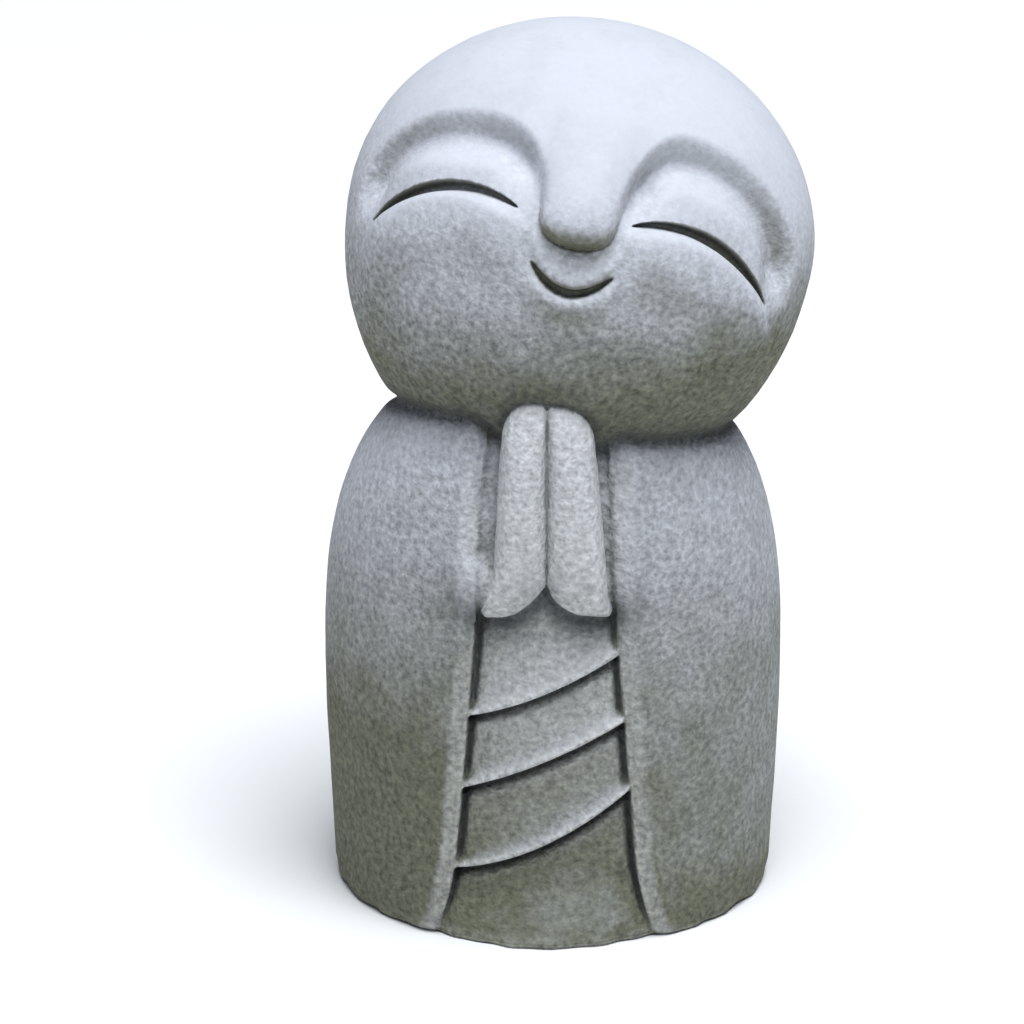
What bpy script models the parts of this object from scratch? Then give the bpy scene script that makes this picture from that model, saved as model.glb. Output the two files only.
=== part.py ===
"""Jizo figure: a cast stone statuette of a small praying monk, 83 mm tall and 45 mm wide.

The whole work is one casting. The robe is a turned body, oval in plan and flat underneath. The head
is an oval that leans to +X and looks upward, and it sinks into the shoulders. The robe is open down
the front: the opening is cut into the body, three overlapping folds of the inner robe lie in it, and
two long praying hands cross its upper end. The eyes and the mouth are tapered grooves.

The front faces -Y, and the origin is at the middle of the underside.
"""

import math

import bmesh
import bpy
from mathutils import Matrix, Vector

MM = 0.001

# Robe: widest at the belly, closing in a superellipse over the shoulders. The shoulders are then
# lifted towards the chin and lowered behind, because the head looks upward.
ROBE_HALF_WIDTH = 21.3 * MM
ROBE_DEPTH_RATIO = 0.93
ROBE_BELLY_UP = 22.0 * MM
ROBE_TOP_UP = 52.0 * MM
ROBE_SHOULDER_POWER = 2.65
COLLAR_TILT = 6.4 * MM
COLLAR_BOW = 4.2 * MM
COLLAR_LIFT_SPAN = 20.0 * MM
COLLAR_INNER_RADIUS = 12.0 * MM
ROBE_FOOT_TAPER = 0.95 * MM
ROBE_FOOT_POWER = 1.4
ROBE_FOOT_EDGE = 0.6 * MM
ROBE_STEPS = 60
ROBE_RINGS = 16

# Opening of the robe: two edges about a line a little left of the middle, flaring at the foot.
OPENING_MIDDLE = -0.7 * MM
OPENING_HALF_WIDTH = 6.1 * MM
OPENING_TOP_UP = 52.5 * MM
OPENING_WRIST_UP = 33.0 * MM
OPENING_SPREAD = 0.083
OPENING_CLOSE = 0.0045 / MM
OPENING_FLARE = 1.9 * MM
OPENING_FLARE_UP = 9.0 * MM
OPENING_DEPTH = 1.7 * MM

# Folds of the inner robe, from the top one down: height at the middle, rise across, sag.
FOLDS = (
    (25.6 * MM, 0.46, 0.40 * MM),
    (18.8 * MM, 0.47, 0.20 * MM),
    (10.7 * MM, 0.53, 0.65 * MM),
)
FOLD_LIP_INSET = 0.45 * MM
FOLD_TOP_INSET = 1.35 * MM
FOLD_TUCK = 1.5 * MM
FOLD_SIDE_TUCK = 0.45 * MM

# Hands: two upright pads, pressed together on the opening's middle line. Each outline is a
# superellipse whose power differs by corner: a high power is a square corner, a low one is round.
HAND_BOTTOM_UP = 32.3 * MM
HAND_TOP_UP = 54.3 * MM
HAND_WRIST_REACH = 6.7 * MM
HAND_PALM_REACH = 5.4 * MM
HAND_TIP_REACH = {-1: 4.8 * MM, 1: 5.0 * MM}
HAND_WRIST_SPAN = 6.0 * MM
HAND_OUTER_TOP_POWER = 3.2
HAND_INNER_TOP_POWER = 7.0
HAND_OUTER_BOTTOM_POWER = 7.0
HAND_INNER_BOTTOM_POWER = 3.0
HAND_SECTION_POWER = 3.2
HAND_FRONT_BOTTOM = -20.6 * MM
HAND_FRONT_TOP = -19.4 * MM
HAND_BACK = -11.0 * MM
HAND_OVERLAP = 0.30 * MM

# Head: an oval with a flatter crown and a fuller chin.
HEAD_CENTRE = Vector((2.45, -1.0, 63.69)) * MM
HEAD_HALF_WIDTH = 21.4 * MM
HEAD_HALF_DEPTH = 19.5 * MM
HEAD_CROWN = 19.25 * MM
HEAD_CHIN = 24.15 * MM
HEAD_LEAN = math.radians(12.0)
HEAD_PITCH = math.radians(12.0)
HEAD_TURN = math.radians(-5.0)

# Face, measured from the nose line round the head and up from the head's centre.
BROW_APEX_ACROSS = 11.3 * MM
BROW_APEX_UP = 9.3 * MM
BROW_SPRING_UP = 0.5 * MM
BROW_INNER_SPAN = 7.8 * MM
BROW_OUTER_SPAN = 13.3 * MM
BROW_INNER_POWER = 2.8
BROW_OUTER_POWER = 1.6
BROW_DEPTH = 1.3 * MM
BROW_SLOPE_WIDTH = 2.2 * MM
SOCKET_RISE_WIDTH = 6.5 * MM
EYE_CREST_ACROSS = 9.5 * MM
EYE_CREST_UP = 3.4 * MM
EYE_CURVE = 0.037 / MM
EYE_INNER_ACROSS = 5.2 * MM
EYE_OUTER_ACROSS = 21.7 * MM
EYE_HALF_THICKNESS = 0.48 * MM
CHEEK_RIM = 0.35 * MM
CHEEK_RIM_WIDTH = 2.0 * MM
NOSE_TIP_UP = 2.3 * MM
NOSE_HALF_WIDTH = 3.9 * MM
NOSE_PROUD = 2.7 * MM
NOSE_UNDERSIDE = 2.8 * MM
NOSE_BRIDGE_LENGTH = 7.5 * MM
MOUTH_HALF_WIDTH = 3.6 * MM
MOUTH_END_UP = -2.0 * MM
MOUTH_SAG = 2.3 * MM
MOUTH_HALF_THICKNESS = 0.42 * MM
UPPER_LIP_DEPTH = 0.7 * MM
GROOVE_HALF_DEPTH = 0.8 * MM
CARVING_SOFT_PASSES = 2

SMOOTH_ANGLE = math.radians(40.0)
STONE_COLOR = (0.42, 0.43, 0.44, 1.0)
STONE_ROUGHNESS = 0.85


def clear_scene():
    """Remove every object of the startup scene."""
    for obj in list(bpy.data.objects):
        bpy.data.objects.remove(obj, do_unlink=True)


def new_collection(name):
    """Make a collection in the scene."""
    collection = bpy.data.collections.new(name)
    bpy.context.scene.collection.children.link(collection)
    return collection


def new_object(name, bm, collection):
    """Turn a bmesh into an object whose faces point out."""
    bmesh.ops.recalc_face_normals(bm, faces=bm.faces)
    if bm.calc_volume(signed=True) < 0.0:
        bmesh.ops.reverse_faces(bm, faces=bm.faces)
    mesh = bpy.data.meshes.new(name)
    bm.to_mesh(mesh)
    bm.free()
    obj = bpy.data.objects.new(name, mesh)
    collection.objects.link(obj)
    return obj


def mix(start, end, share):
    """Value a share of the way from start to end."""
    return start + (end - start) * share


def ramp(low, high, value):
    """Smooth step from 0 at low to 1 at high."""
    share = min(max((value - low) / (high - low), 0.0), 1.0)
    return share * share * (3.0 - 2.0 * share)


def robe_half_width(up):
    """Half width of the robe at a height."""
    if up < ROBE_BELLY_UP:
        drop = 1.0 - up / ROBE_BELLY_UP
        return ROBE_HALF_WIDTH - ROBE_FOOT_TAPER * drop ** ROBE_FOOT_POWER
    rise = min((up - ROBE_BELLY_UP) / (ROBE_TOP_UP - ROBE_BELLY_UP), 1.0)
    return ROBE_HALF_WIDTH * (1.0 - rise ** ROBE_SHOULDER_POWER) ** (1.0 / ROBE_SHOULDER_POWER)


def collar_lift(turn, radius, level):
    """How far the shoulder is lifted in a direction about +Z, at a level of the turned body."""
    forward = -math.sin(turn)
    lift = COLLAR_TILT * forward + COLLAR_BOW * forward ** 2
    share = ramp(ROBE_BELLY_UP, ROBE_BELLY_UP + COLLAR_LIFT_SPAN, level)
    return lift * share * min(radius / COLLAR_INNER_RADIUS, 1.0)


def robe_radius(turn, up):
    """Radius of the lifted robe in a direction, before it is pressed to its oval plan."""
    low = 0.0
    high = ROBE_TOP_UP
    for _ in range(20):
        level = 0.5 * (low + high)
        if level + collar_lift(turn, robe_half_width(level), level) > up:
            high = level
        else:
            low = level
    return robe_half_width(low)


def robe_front(across, up, inset):
    """Y of the robe's front at a place, a distance under its surface."""
    turn = -0.5 * math.pi
    for _ in range(6):
        radius = robe_radius(turn, up) - inset
        forward = math.sqrt(max(radius ** 2 - across ** 2, 0.0))
        turn = math.atan2(-forward, across)
    return -ROBE_DEPTH_RATIO * forward


def robe_profile():
    """Outer side of the robe from its top to the middle of the underside, as (radius, height)."""
    points = [(0.0, ROBE_TOP_UP)]
    for ring in range(1, ROBE_RINGS):
        angle = 0.5 * math.pi * ring / ROBE_RINGS
        up = mix(ROBE_BELLY_UP, ROBE_TOP_UP, math.cos(angle))
        points.append((robe_half_width(up), up))
    wall_rings = ROBE_RINGS // 4
    for ring in range(wall_rings + 1):
        up = mix(ROBE_BELLY_UP, ROBE_FOOT_EDGE, ring / wall_rings)
        points.append((robe_half_width(up), up))
    points.append((robe_half_width(0.0) - ROBE_FOOT_EDGE, 0.0))
    points.append((0.0, 0.0))
    return points


def make_robe(collection):
    """Turn the robe's profile about +Z, lift its shoulders and press it to its oval plan."""
    bm = bmesh.new()
    verts = [bm.verts.new((radius, 0.0, up)) for radius, up in robe_profile()]
    for upper, lower in zip(verts, verts[1:]):
        bm.edges.new((upper, lower))
    mesh = bpy.data.meshes.new("robe_profile")
    bm.to_mesh(mesh)
    bm.free()
    turned = bpy.data.objects.new("robe_profile", mesh)
    collection.objects.link(turned)
    screw = turned.modifiers.new("Turn", "SCREW")
    screw.steps = ROBE_STEPS
    screw.render_steps = ROBE_STEPS
    screw.use_merge_vertices = True
    screw.merge_threshold = 0.00001
    evaluated = turned.evaluated_get(bpy.context.evaluated_depsgraph_get())
    body = bpy.data.meshes.new_from_object(evaluated)
    bpy.data.objects.remove(turned, do_unlink=True)
    bm = bmesh.new()
    bm.from_mesh(body)
    bpy.data.meshes.remove(body)
    for vert in bm.verts:
        radius = math.hypot(vert.co.x, vert.co.y)
        vert.co.z += collar_lift(math.atan2(vert.co.y, vert.co.x), radius, vert.co.z)
        vert.co.y *= ROBE_DEPTH_RATIO
    return bm


def opening_half_width(up):
    """Half width of the robe's opening at a height."""
    if up > OPENING_WRIST_UP:
        return OPENING_HALF_WIDTH - OPENING_CLOSE * (up - OPENING_WRIST_UP) ** 2
    flare = max(1.0 - up / OPENING_FLARE_UP, 0.0) ** 2
    return OPENING_HALF_WIDTH + OPENING_SPREAD * (OPENING_WRIST_UP - up) + OPENING_FLARE * flare


def front_slab(name, place, columns, rows, collection):
    """Closed slab on the robe's front.

    place(across, share) gives the front and back points for across from -1 to 1 over the opening
    and share from 0 at the slab's lower edge to 1 at its upper edge.
    """
    bm = bmesh.new()
    bmesh.ops.create_grid(bm, x_segments=columns, y_segments=rows, size=1.0)
    grid = [(vert, vert.co.x, 0.5 * (vert.co.y + 1.0)) for vert in bm.verts]
    back = {}
    for vert, across, share in grid:
        front_point, back_point = place(across, share)
        vert.co = front_point
        back[tuple(front_point)] = back_point
    moved = bmesh.ops.extrude_face_region(bm, geom=bm.faces[:])["geom"]
    keys = {tuple(Vector(key)): point for key, point in back.items()}
    for vert in moved:
        if isinstance(vert, bmesh.types.BMVert):
            vert.co = keys[tuple(vert.co)]
    return new_object(name, bm, collection)


def make_opening(collection):
    """Cutter whose back is the floor of the robe's opening."""
    reach = 4.0 * MM

    def place(across, share):
        up = mix(-reach, OPENING_TOP_UP, share)
        side = OPENING_MIDDLE + across * opening_half_width(max(up, 0.0))
        floor = robe_front(side, max(up, 0.0), OPENING_DEPTH)
        return Vector((side, floor - reach - OPENING_DEPTH, up)), Vector((side, floor, up))

    return front_slab("opening", place, 9, 20, collection)


def fold_height(fold, side):
    """Height of a fold's lower lip at a place across the opening."""
    middle_up, rise, sag = FOLDS[fold]
    offset = side - OPENING_MIDDLE
    return middle_up + rise * offset + sag * ((offset / OPENING_HALF_WIDTH) ** 2 - 0.5)


def make_fold(fold, collection):
    """One fold of the inner robe: thin where it comes out above, proud at its lower lip."""

    def upper_edge(side):
        if fold == 0:
            return HAND_BOTTOM_UP + FOLD_TUCK
        return fold_height(fold - 1, side) + FOLD_TUCK

    side_tuck = FOLD_SIDE_TUCK * (fold + 1)

    def place(across, share):
        side = OPENING_MIDDLE + across * opening_half_width(FOLDS[fold][0])
        up = mix(fold_height(fold, side), upper_edge(side), share)
        side = OPENING_MIDDLE + across * (opening_half_width(up) + side_tuck)
        inset = mix(FOLD_LIP_INSET, FOLD_TOP_INSET, share)
        front = Vector((side, robe_front(side, up, inset), up))
        back = Vector((side, robe_front(side, up, 2.0 * OPENING_DEPTH), up))
        return front, back

    return front_slab(f"fold_{fold + 1}", place, 9, 4, collection)


def signed_power(value, power):
    """Power of a number's size that keeps its sign."""
    return math.copysign(abs(value) ** power, value)


def hand_reach(side, share):
    """Width of a hand at a share of its height: flared at the wrist, tapering to the tips."""
    wrist = 1.0 - ramp(0.0, HAND_WRIST_SPAN / (HAND_TOP_UP - HAND_BOTTOM_UP), share)
    return mix(mix(HAND_PALM_REACH, HAND_TIP_REACH[side], share), HAND_WRIST_REACH, wrist)


def hand_outline(turn):
    """Outline of a hand from -1 to 1 each way, in a direction from its middle (0 is outward)."""
    outward = math.cos(turn) > 0.0
    if math.sin(turn) > 0.0:
        power = HAND_OUTER_TOP_POWER if outward else HAND_INNER_TOP_POWER
    else:
        power = HAND_OUTER_BOTTOM_POWER if outward else HAND_INNER_BOTTOM_POWER
    return signed_power(math.cos(turn), 2.0 / power), signed_power(math.sin(turn), 2.0 / power)


def make_hand(side, collection):
    """One praying hand: a rounded pad, flat where it meets the other hand."""
    bm = bmesh.new()
    bmesh.ops.create_uvsphere(bm, u_segments=24, v_segments=12, radius=1.0)
    section = 2.0 / HAND_SECTION_POWER
    for vert in bm.verts:
        spread = math.hypot(vert.co.x, vert.co.y)
        outward, rise = hand_outline(math.atan2(vert.co.y, vert.co.x))
        width = spread ** section
        deep = signed_power(vert.co.z, section)
        share = 0.5 * (rise * width + 1.0)
        across = 0.5 * hand_reach(side, share) * (1.0 + outward * width)
        front = mix(HAND_FRONT_BOTTOM, HAND_FRONT_TOP, share)
        vert.co = Vector((
            OPENING_MIDDLE + side * (across - HAND_OVERLAP),
            mix(front, HAND_BACK, 0.5 * (1.0 - deep)),
            mix(HAND_BOTTOM_UP, HAND_TOP_UP, share),
        ))
    label = "right" if side > 0 else "left"
    return new_object(f"hand_{label}", bm, collection)


def brow_depth(across, up):
    """How far in the brow inside the arch (positive) or outside it (negative) a place lies."""
    inner = across < BROW_APEX_ACROSS
    span = BROW_INNER_SPAN if inner else BROW_OUTER_SPAN
    power = BROW_INNER_POWER if inner else BROW_OUTER_POWER
    offset = abs(across - BROW_APEX_ACROSS)
    up = max(up, BROW_SPRING_UP)
    ratio = ((offset / span) ** power + (up / BROW_APEX_UP) ** power) ** (1.0 / power)
    return math.hypot(offset, up) * (1.0 / ratio - 1.0)


def socket_relief(across, up):
    """Hollow under the brow: steep below the arch, rising again towards the eye."""
    inside = brow_depth(across, up)
    drop = ramp(-0.4 * BROW_SLOPE_WIDTH, 0.6 * BROW_SLOPE_WIDTH, inside)
    rise = ramp(0.6 * BROW_SLOPE_WIDTH, SOCKET_RISE_WIDTH, inside)
    low_fade = ramp(-2.5 * MM, 2.0 * MM, up)
    return -BROW_DEPTH * drop * (1.0 - 0.75 * rise) * low_fade


def eye_height(across):
    """Height of the eye's arc at a place round the head."""
    return EYE_CREST_UP - EYE_CURVE * (across - EYE_CREST_ACROSS) ** 2


def cheek_relief(across, up):
    """Step at the eye: the lid dips above it and the cheek's rim stands out under it."""
    below = eye_height(across) - up
    reach = ramp(3.5 * MM, 6.0 * MM, across) * (1.0 - ramp(17.0 * MM, 21.0 * MM, across))
    step = 2.0 * ramp(-EYE_HALF_THICKNESS, EYE_HALF_THICKNESS, below) - 1.0
    return CHEEK_RIM * reach * step * math.exp(-((below / CHEEK_RIM_WIDTH) ** 2))


def nose_relief(across, up):
    """Nose: a bridge that swells to a round tip, cut back underneath."""
    side = min(across / NOSE_HALF_WIDTH, 1.0)
    if up > NOSE_TIP_UP:
        along = 1.0 - ramp(0.0, NOSE_BRIDGE_LENGTH, up - NOSE_TIP_UP)
    else:
        along = math.sqrt(max(1.0 - ((NOSE_TIP_UP - up) / NOSE_UNDERSIDE) ** 2, 0.0))
    return NOSE_PROUD * along * math.sqrt(1.0 - side ** 2)


def mouth_height(across):
    """Height of the smile's arc at a place across the face."""
    return MOUTH_END_UP - MOUTH_SAG * (1.0 - (across / MOUTH_HALF_WIDTH) ** 2)


def upper_lip_relief(across, up):
    """Soft hollow between the nose and the mouth."""
    middle_up = 0.5 * (NOSE_TIP_UP - NOSE_UNDERSIDE + MOUTH_END_UP - MOUTH_SAG)
    radius = math.hypot(across / (1.1 * MOUTH_HALF_WIDTH), (up - middle_up) / MOUTH_SAG)
    return -UPPER_LIP_DEPTH * (1.0 - ramp(0.2, 1.1, radius))


def face_relief(across, up):
    """Carving of the face above the plain oval, at a place measured from the nose line."""
    across = abs(across)
    relief = socket_relief(across, up) + cheek_relief(across, up)
    return relief + nose_relief(across, up) + upper_lip_relief(across, up)


def head_transform():
    """Place of the head: it leans to +X, looks upward and turns a little to -X."""
    lean = Matrix.Rotation(HEAD_LEAN, 4, "Y")
    pitch = Matrix.Rotation(-HEAD_PITCH, 4, "X")
    turn = Matrix.Rotation(HEAD_TURN, 4, "Z")
    return Matrix.Translation(HEAD_CENTRE) @ lean @ pitch @ turn


def head_oval(direction):
    """Point of the plain oval in a direction of the unit sphere."""
    height = HEAD_CROWN if direction.z > 0.0 else HEAD_CHIN
    return Vector((direction.x * HEAD_HALF_WIDTH, direction.y * HEAD_HALF_DEPTH, direction.z * height))


def head_point(across, up):
    """Point of the plain oval at a place on the face, and the way out there."""
    height = HEAD_CROWN if up > 0.0 else HEAD_CHIN
    rise = up / height
    ring = math.sqrt(1.0 - rise ** 2)
    angle = 2.0 * across / (HEAD_HALF_WIDTH + HEAD_HALF_DEPTH)
    point = head_oval(Vector((math.sin(angle) * ring, -math.cos(angle) * ring, rise)))
    out = Vector((
        point.x / HEAD_HALF_WIDTH ** 2,
        point.y / HEAD_HALF_DEPTH ** 2,
        point.z / height ** 2,
    ))
    return point, out.normalized()


def split_face(bm, keep):
    """Halve the edges of the unit sphere where keep(middle) is true."""
    edges = [edge for edge in bm.edges if keep(0.5 * (edge.verts[0].co + edge.verts[1].co))]
    bmesh.ops.subdivide_edges(bm, edges=edges, cuts=1, use_grid_fill=True)
    bmesh.ops.triangulate(bm, faces=bm.faces)
    for vert in bm.verts:
        vert.co.normalize()


def make_head(collection):
    """Head: an oval with brows, cheeks, nose and upper lip raised and hollowed on its front."""
    bm = bmesh.new()
    bmesh.ops.create_icosphere(bm, subdivisions=4, radius=1.0)
    split_face(bm, lambda middle: middle.y < -0.30 and middle.z > -0.45)
    split_face(bm, lambda middle: middle.y < -0.42 and -0.26 < middle.z < 0.56)
    carved = [vert for vert in bm.verts if vert.co.y < -0.45 and -0.24 < vert.co.z < 0.54]
    place = head_transform()
    for vert in bm.verts:
        direction = vert.co.copy()
        point = head_oval(direction)
        angle = math.atan2(direction.x, -direction.y)
        across = 0.5 * (HEAD_HALF_WIDTH + HEAD_HALF_DEPTH) * angle
        if direction.y < 0.0:
            surface, out = head_point(across, point.z)
            point = surface + out * face_relief(across, point.z)
        vert.co = place @ point
    for _ in range(CARVING_SOFT_PASSES):
        bmesh.ops.smooth_vert(
            bm, verts=carved, factor=0.5, use_axis_x=True, use_axis_y=True, use_axis_z=True
        )
    return new_object("head", bm, collection)


def make_groove(name, path, half_thickness, collection):
    """Tapered groove cutter: a long bead bent along path, which gives its place from -1 to 1."""
    bm = bmesh.new()
    bmesh.ops.create_uvsphere(bm, u_segments=8, v_segments=18, radius=1.0)
    place = head_transform()
    step = 0.02
    for vert in bm.verts:
        along = max(-1.0, min(1.0, vert.co.z))
        point, out = path(along)
        before = path(max(along - step, -1.0))[0]
        after = path(min(along + step, 1.0))[0]
        across = out.cross(after - before).normalized()
        offset = across * (vert.co.x * half_thickness) + out * (vert.co.y * GROOVE_HALF_DEPTH)
        vert.co = place @ (point + offset)
    return new_object(name, bm, collection)


def make_eye(side, collection):
    """Groove of one closed eye."""

    def path(along):
        across = mix(EYE_INNER_ACROSS, EYE_OUTER_ACROSS, 0.5 * (along + 1.0))
        point, out = head_point(side * across, eye_height(across))
        return point + out * face_relief(across, eye_height(across)), out

    label = "right" if side > 0 else "left"
    return make_groove(f"eye_{label}", path, EYE_HALF_THICKNESS, collection)


def make_mouth(collection):
    """Groove of the smile."""

    def path(along):
        across = along * MOUTH_HALF_WIDTH
        point, out = head_point(across, mouth_height(across))
        return point + out * face_relief(across, mouth_height(across)), out

    return make_groove("mouth", path, MOUTH_HALF_THICKNESS, collection)


def hide_cutter(obj):
    """Show a form that only cuts or joins as a wire."""
    obj.hide_render = True
    obj.display_type = "WIRE"


def combine(figure, other, operation):
    """Cut or join a form with an exact Boolean modifier."""
    hide_cutter(other)
    modifier = figure.modifiers.new(other.name, "BOOLEAN")
    modifier.operation = operation
    modifier.solver = "EXACT"
    modifier.object = other


def stone_material():
    """Matte grey cast stone."""
    material = bpy.data.materials.new("cast_stone")
    material.use_nodes = True
    shader = material.node_tree.nodes["Principled BSDF"]
    shader.inputs["Base Color"].default_value = STONE_COLOR
    shader.inputs["Roughness"].default_value = STONE_ROUGHNESS
    shader.inputs["Metallic"].default_value = 0.0
    return material


def build():
    """Build the figure."""
    clear_scene()
    parts = new_collection("jizo")
    forms = new_collection("jizo_forms")
    figure = new_object("jizo_figure", make_robe(forms), parts)
    combine(figure, make_opening(forms), "DIFFERENCE")
    for fold in range(len(FOLDS)):
        combine(figure, make_fold(fold, forms), "UNION")
    combine(figure, make_head(forms), "UNION")
    for side in (-1, 1):
        combine(figure, make_hand(side, forms), "UNION")
    for side in (-1, 1):
        combine(figure, make_eye(side, forms), "DIFFERENCE")
    combine(figure, make_mouth(forms), "DIFFERENCE")
    figure.data.materials.append(stone_material())
    figure.data.shade_smooth()
    figure.data.set_sharp_from_angle(angle=SMOOTH_ANGLE)


build()
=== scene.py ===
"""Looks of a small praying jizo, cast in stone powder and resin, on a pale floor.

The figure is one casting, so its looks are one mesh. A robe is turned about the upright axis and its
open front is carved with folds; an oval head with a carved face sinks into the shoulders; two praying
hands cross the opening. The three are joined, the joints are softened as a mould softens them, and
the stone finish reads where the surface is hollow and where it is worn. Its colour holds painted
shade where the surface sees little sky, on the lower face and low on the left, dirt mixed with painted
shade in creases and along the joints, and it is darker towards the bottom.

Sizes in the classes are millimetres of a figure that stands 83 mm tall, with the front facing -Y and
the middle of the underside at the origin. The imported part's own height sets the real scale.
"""

import logging
import math
from collections.abc import Callable
from dataclasses import dataclass, field
from enum import Enum

import bmesh
import bpy
import numpy as np
from mathutils import Matrix, Vector, noise
from mathutils.bvhtree import BVHTree
from mathutils.kdtree import KDTree


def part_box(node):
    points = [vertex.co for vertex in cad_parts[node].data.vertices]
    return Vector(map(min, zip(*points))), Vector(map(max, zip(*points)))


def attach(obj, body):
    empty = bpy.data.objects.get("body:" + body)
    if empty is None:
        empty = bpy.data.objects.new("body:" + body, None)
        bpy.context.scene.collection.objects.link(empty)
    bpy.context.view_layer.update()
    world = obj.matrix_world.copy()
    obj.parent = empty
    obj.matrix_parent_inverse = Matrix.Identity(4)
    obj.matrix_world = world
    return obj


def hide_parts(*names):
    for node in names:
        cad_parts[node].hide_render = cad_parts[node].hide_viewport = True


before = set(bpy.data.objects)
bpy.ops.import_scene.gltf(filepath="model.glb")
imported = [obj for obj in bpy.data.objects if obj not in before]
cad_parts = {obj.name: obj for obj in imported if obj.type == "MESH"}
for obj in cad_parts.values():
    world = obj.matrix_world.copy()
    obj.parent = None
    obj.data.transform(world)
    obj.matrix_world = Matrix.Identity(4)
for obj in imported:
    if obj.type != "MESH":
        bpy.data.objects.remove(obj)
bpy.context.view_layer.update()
CAD_NODE = "jizo_figure"
FIGURE_HEIGHT = 83.0
PART_LAYER = "part"

# Least length or ratio that is told from nothing, and how every carved groove tapers: the powers of
# its width and its depth, and where its wall starts and ends across it.
TINY = 0.001
GROOVE_WIDTH_POWER = 0.55
GROOVE_DEPTH_POWER = 0.33
GROOVE_WALL = (0.35, 1.15)

# Places of a mix node's share and two colours among its inputs, and of its colour among its outputs.
MIX_INPUTS = (0, 6, 7)
MIX_OUTPUT = 2

LOG = logging.getLogger("jizo")

# Short names for types. A span is a start and an end, a curve is a broken line of (value, result)
# points, and a kind of noise is its size, detail and roughness.
Array = np.ndarray
BMesh = bmesh.types.BMesh
BMVert = bmesh.types.BMVert
BMEdge = bmesh.types.BMEdge
Socket = bpy.types.NodeSocket
Color = tuple[float, float, float]
Place = tuple[float, float, float]
NoiseKind = tuple[float, float, float]
Span = tuple[float, float]
Curve = tuple[Span, ...]
Steps = tuple[float, ...]


class Side(Enum):
    """Side of the figure, by its sign on the X axis."""

    LEFT = -1
    RIGHT = 1


class Part(Enum):
    """Parts that are joined into the one casting, by the number that their faces carry."""

    ROBE = 1
    HEAD = 2
    LEFT_HAND = 3
    RIGHT_HAND = 4


HANDS = {Part.LEFT_HAND, Part.RIGHT_HAND}


class Mask(Enum):
    """What the stone's finish reads from the surface, by the name of the mesh attribute."""

    CREASE = "crease"
    JOINT = "joint"
    SKY = "sky"
    WEAR = "wear"
    PALE = "pale"


def ramp(low: float, high: float, value: Array) -> Array:
    """Smooth step.

    Args:
        low: Value where the step starts at 0.
        high: Value where it reaches 1.
        value: Values to look up.

    Returns:
        The step at each value.
    """
    share = np.clip((value - low) / (high - low), 0.0, 1.0)
    return share * share * (3.0 - 2.0 * share)


def fall(low: float, high: float, value: Array) -> Array:
    """Smooth step down, from 1 at low to 0 at high."""
    return 1.0 - ramp(low, high, value)


def held(value: float) -> float:
    """Hold a number between 0 and 1."""
    return min(max(value, 0.0), 1.0)


def bell(offset: Array, width: float) -> Array:
    """Bell curve of height 1 at offset 0."""
    return np.exp(-((offset / width) ** 2))


def mix(start: Array, end: Array, share: Array) -> Array:
    """Value a share of the way from start to end."""
    return start + (end - start) * share


def read_points(bm: BMesh) -> Array:
    """Places of a mesh's vertices, a row for each."""
    return np.array([vert.co for vert in bm.verts])


def write_points(bm: BMesh, points: Array) -> None:
    """Move a mesh's vertices to new places, a row for each."""
    for vert, point in zip(bm.verts, points):
        vert.co = point


def refine(bm: BMesh, wanted: Callable[[Array], Array]) -> None:
    """Halve the edges of a mesh where more detail is wanted.

    Args:
        bm: Mesh to refine.
        wanted: Tells, for the middles of the edges, which ones to halve.
    """
    edges = list(bm.edges)
    middles = np.array([edge.verts[0].co + edge.verts[1].co for edge in edges]) * 0.5
    chosen = [edge for edge, halve in zip(edges, wanted(middles)) if halve]
    bmesh.ops.subdivide_edges(bm, edges=chosen, cuts=1, use_grid_fill=True)
    bmesh.ops.triangulate(bm, faces=[face for face in bm.faces if len(face.verts) > 4])


def settled(bm: BMesh) -> BMesh:
    """Copy a mesh with its faces in the order of their corners.

    A spin leaves its edges and faces in another order each time, and halving them would follow it.

    Args:
        bm: Mesh to copy, which is freed.

    Returns:
        The copy, which is the same each time.
    """
    bm.verts.index_update()
    faces = [[vert.index for vert in face.verts] for face in bm.faces]
    copy = bmesh.new()
    verts = [copy.verts.new(vert.co) for vert in bm.verts]
    for corners in sorted(faces, key=sorted):
        copy.faces.new([verts[corner] for corner in corners])
    bm.free()
    return copy


def smooth(verts: list[BMVert], bm: BMesh, passes: int, factor: float) -> None:
    """Pull vertices towards their neighbours.

    Args:
        verts: Vertices to move.
        bm: Their mesh.
        passes: How many times to move them.
        factor: Share of the way that they move each time.
    """
    for _ in range(passes):
        bmesh.ops.smooth_vert(
            bm, verts=verts, factor=factor, use_axis_x=True, use_axis_y=True, use_axis_z=True
        )


def add_object(name: str, data: bpy.types.ID) -> bpy.types.Object:
    """Put a mesh, a light or a camera into the scene.

    Args:
        name: Name of the object.
        data: The mesh, light or camera.

    Returns:
        The object.
    """
    obj = bpy.data.objects.new(name, data)
    bpy.context.scene.collection.objects.link(obj)
    return obj


def make_object(name: str, bm: BMesh, part: Part | None = None) -> bpy.types.Object:
    """Turn a bmesh into an object in the scene, with its faces pointing out.

    Args:
        name: Name of the object and its mesh.
        bm: Finished mesh, which is freed.
        part: Part that its faces are marked as.

    Returns:
        The object.
    """
    bmesh.ops.recalc_face_normals(bm, faces=bm.faces)
    if bm.calc_volume(signed=True) < 0.0:
        bmesh.ops.reverse_faces(bm, faces=bm.faces)
    if part:
        mark = bm.faces.layers.int.new(PART_LAYER)
        for face in bm.faces:
            face[mark] = part.value
    mesh = bpy.data.meshes.new(name)
    bm.to_mesh(mesh)
    bm.free()
    return add_object(name, mesh)


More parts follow.
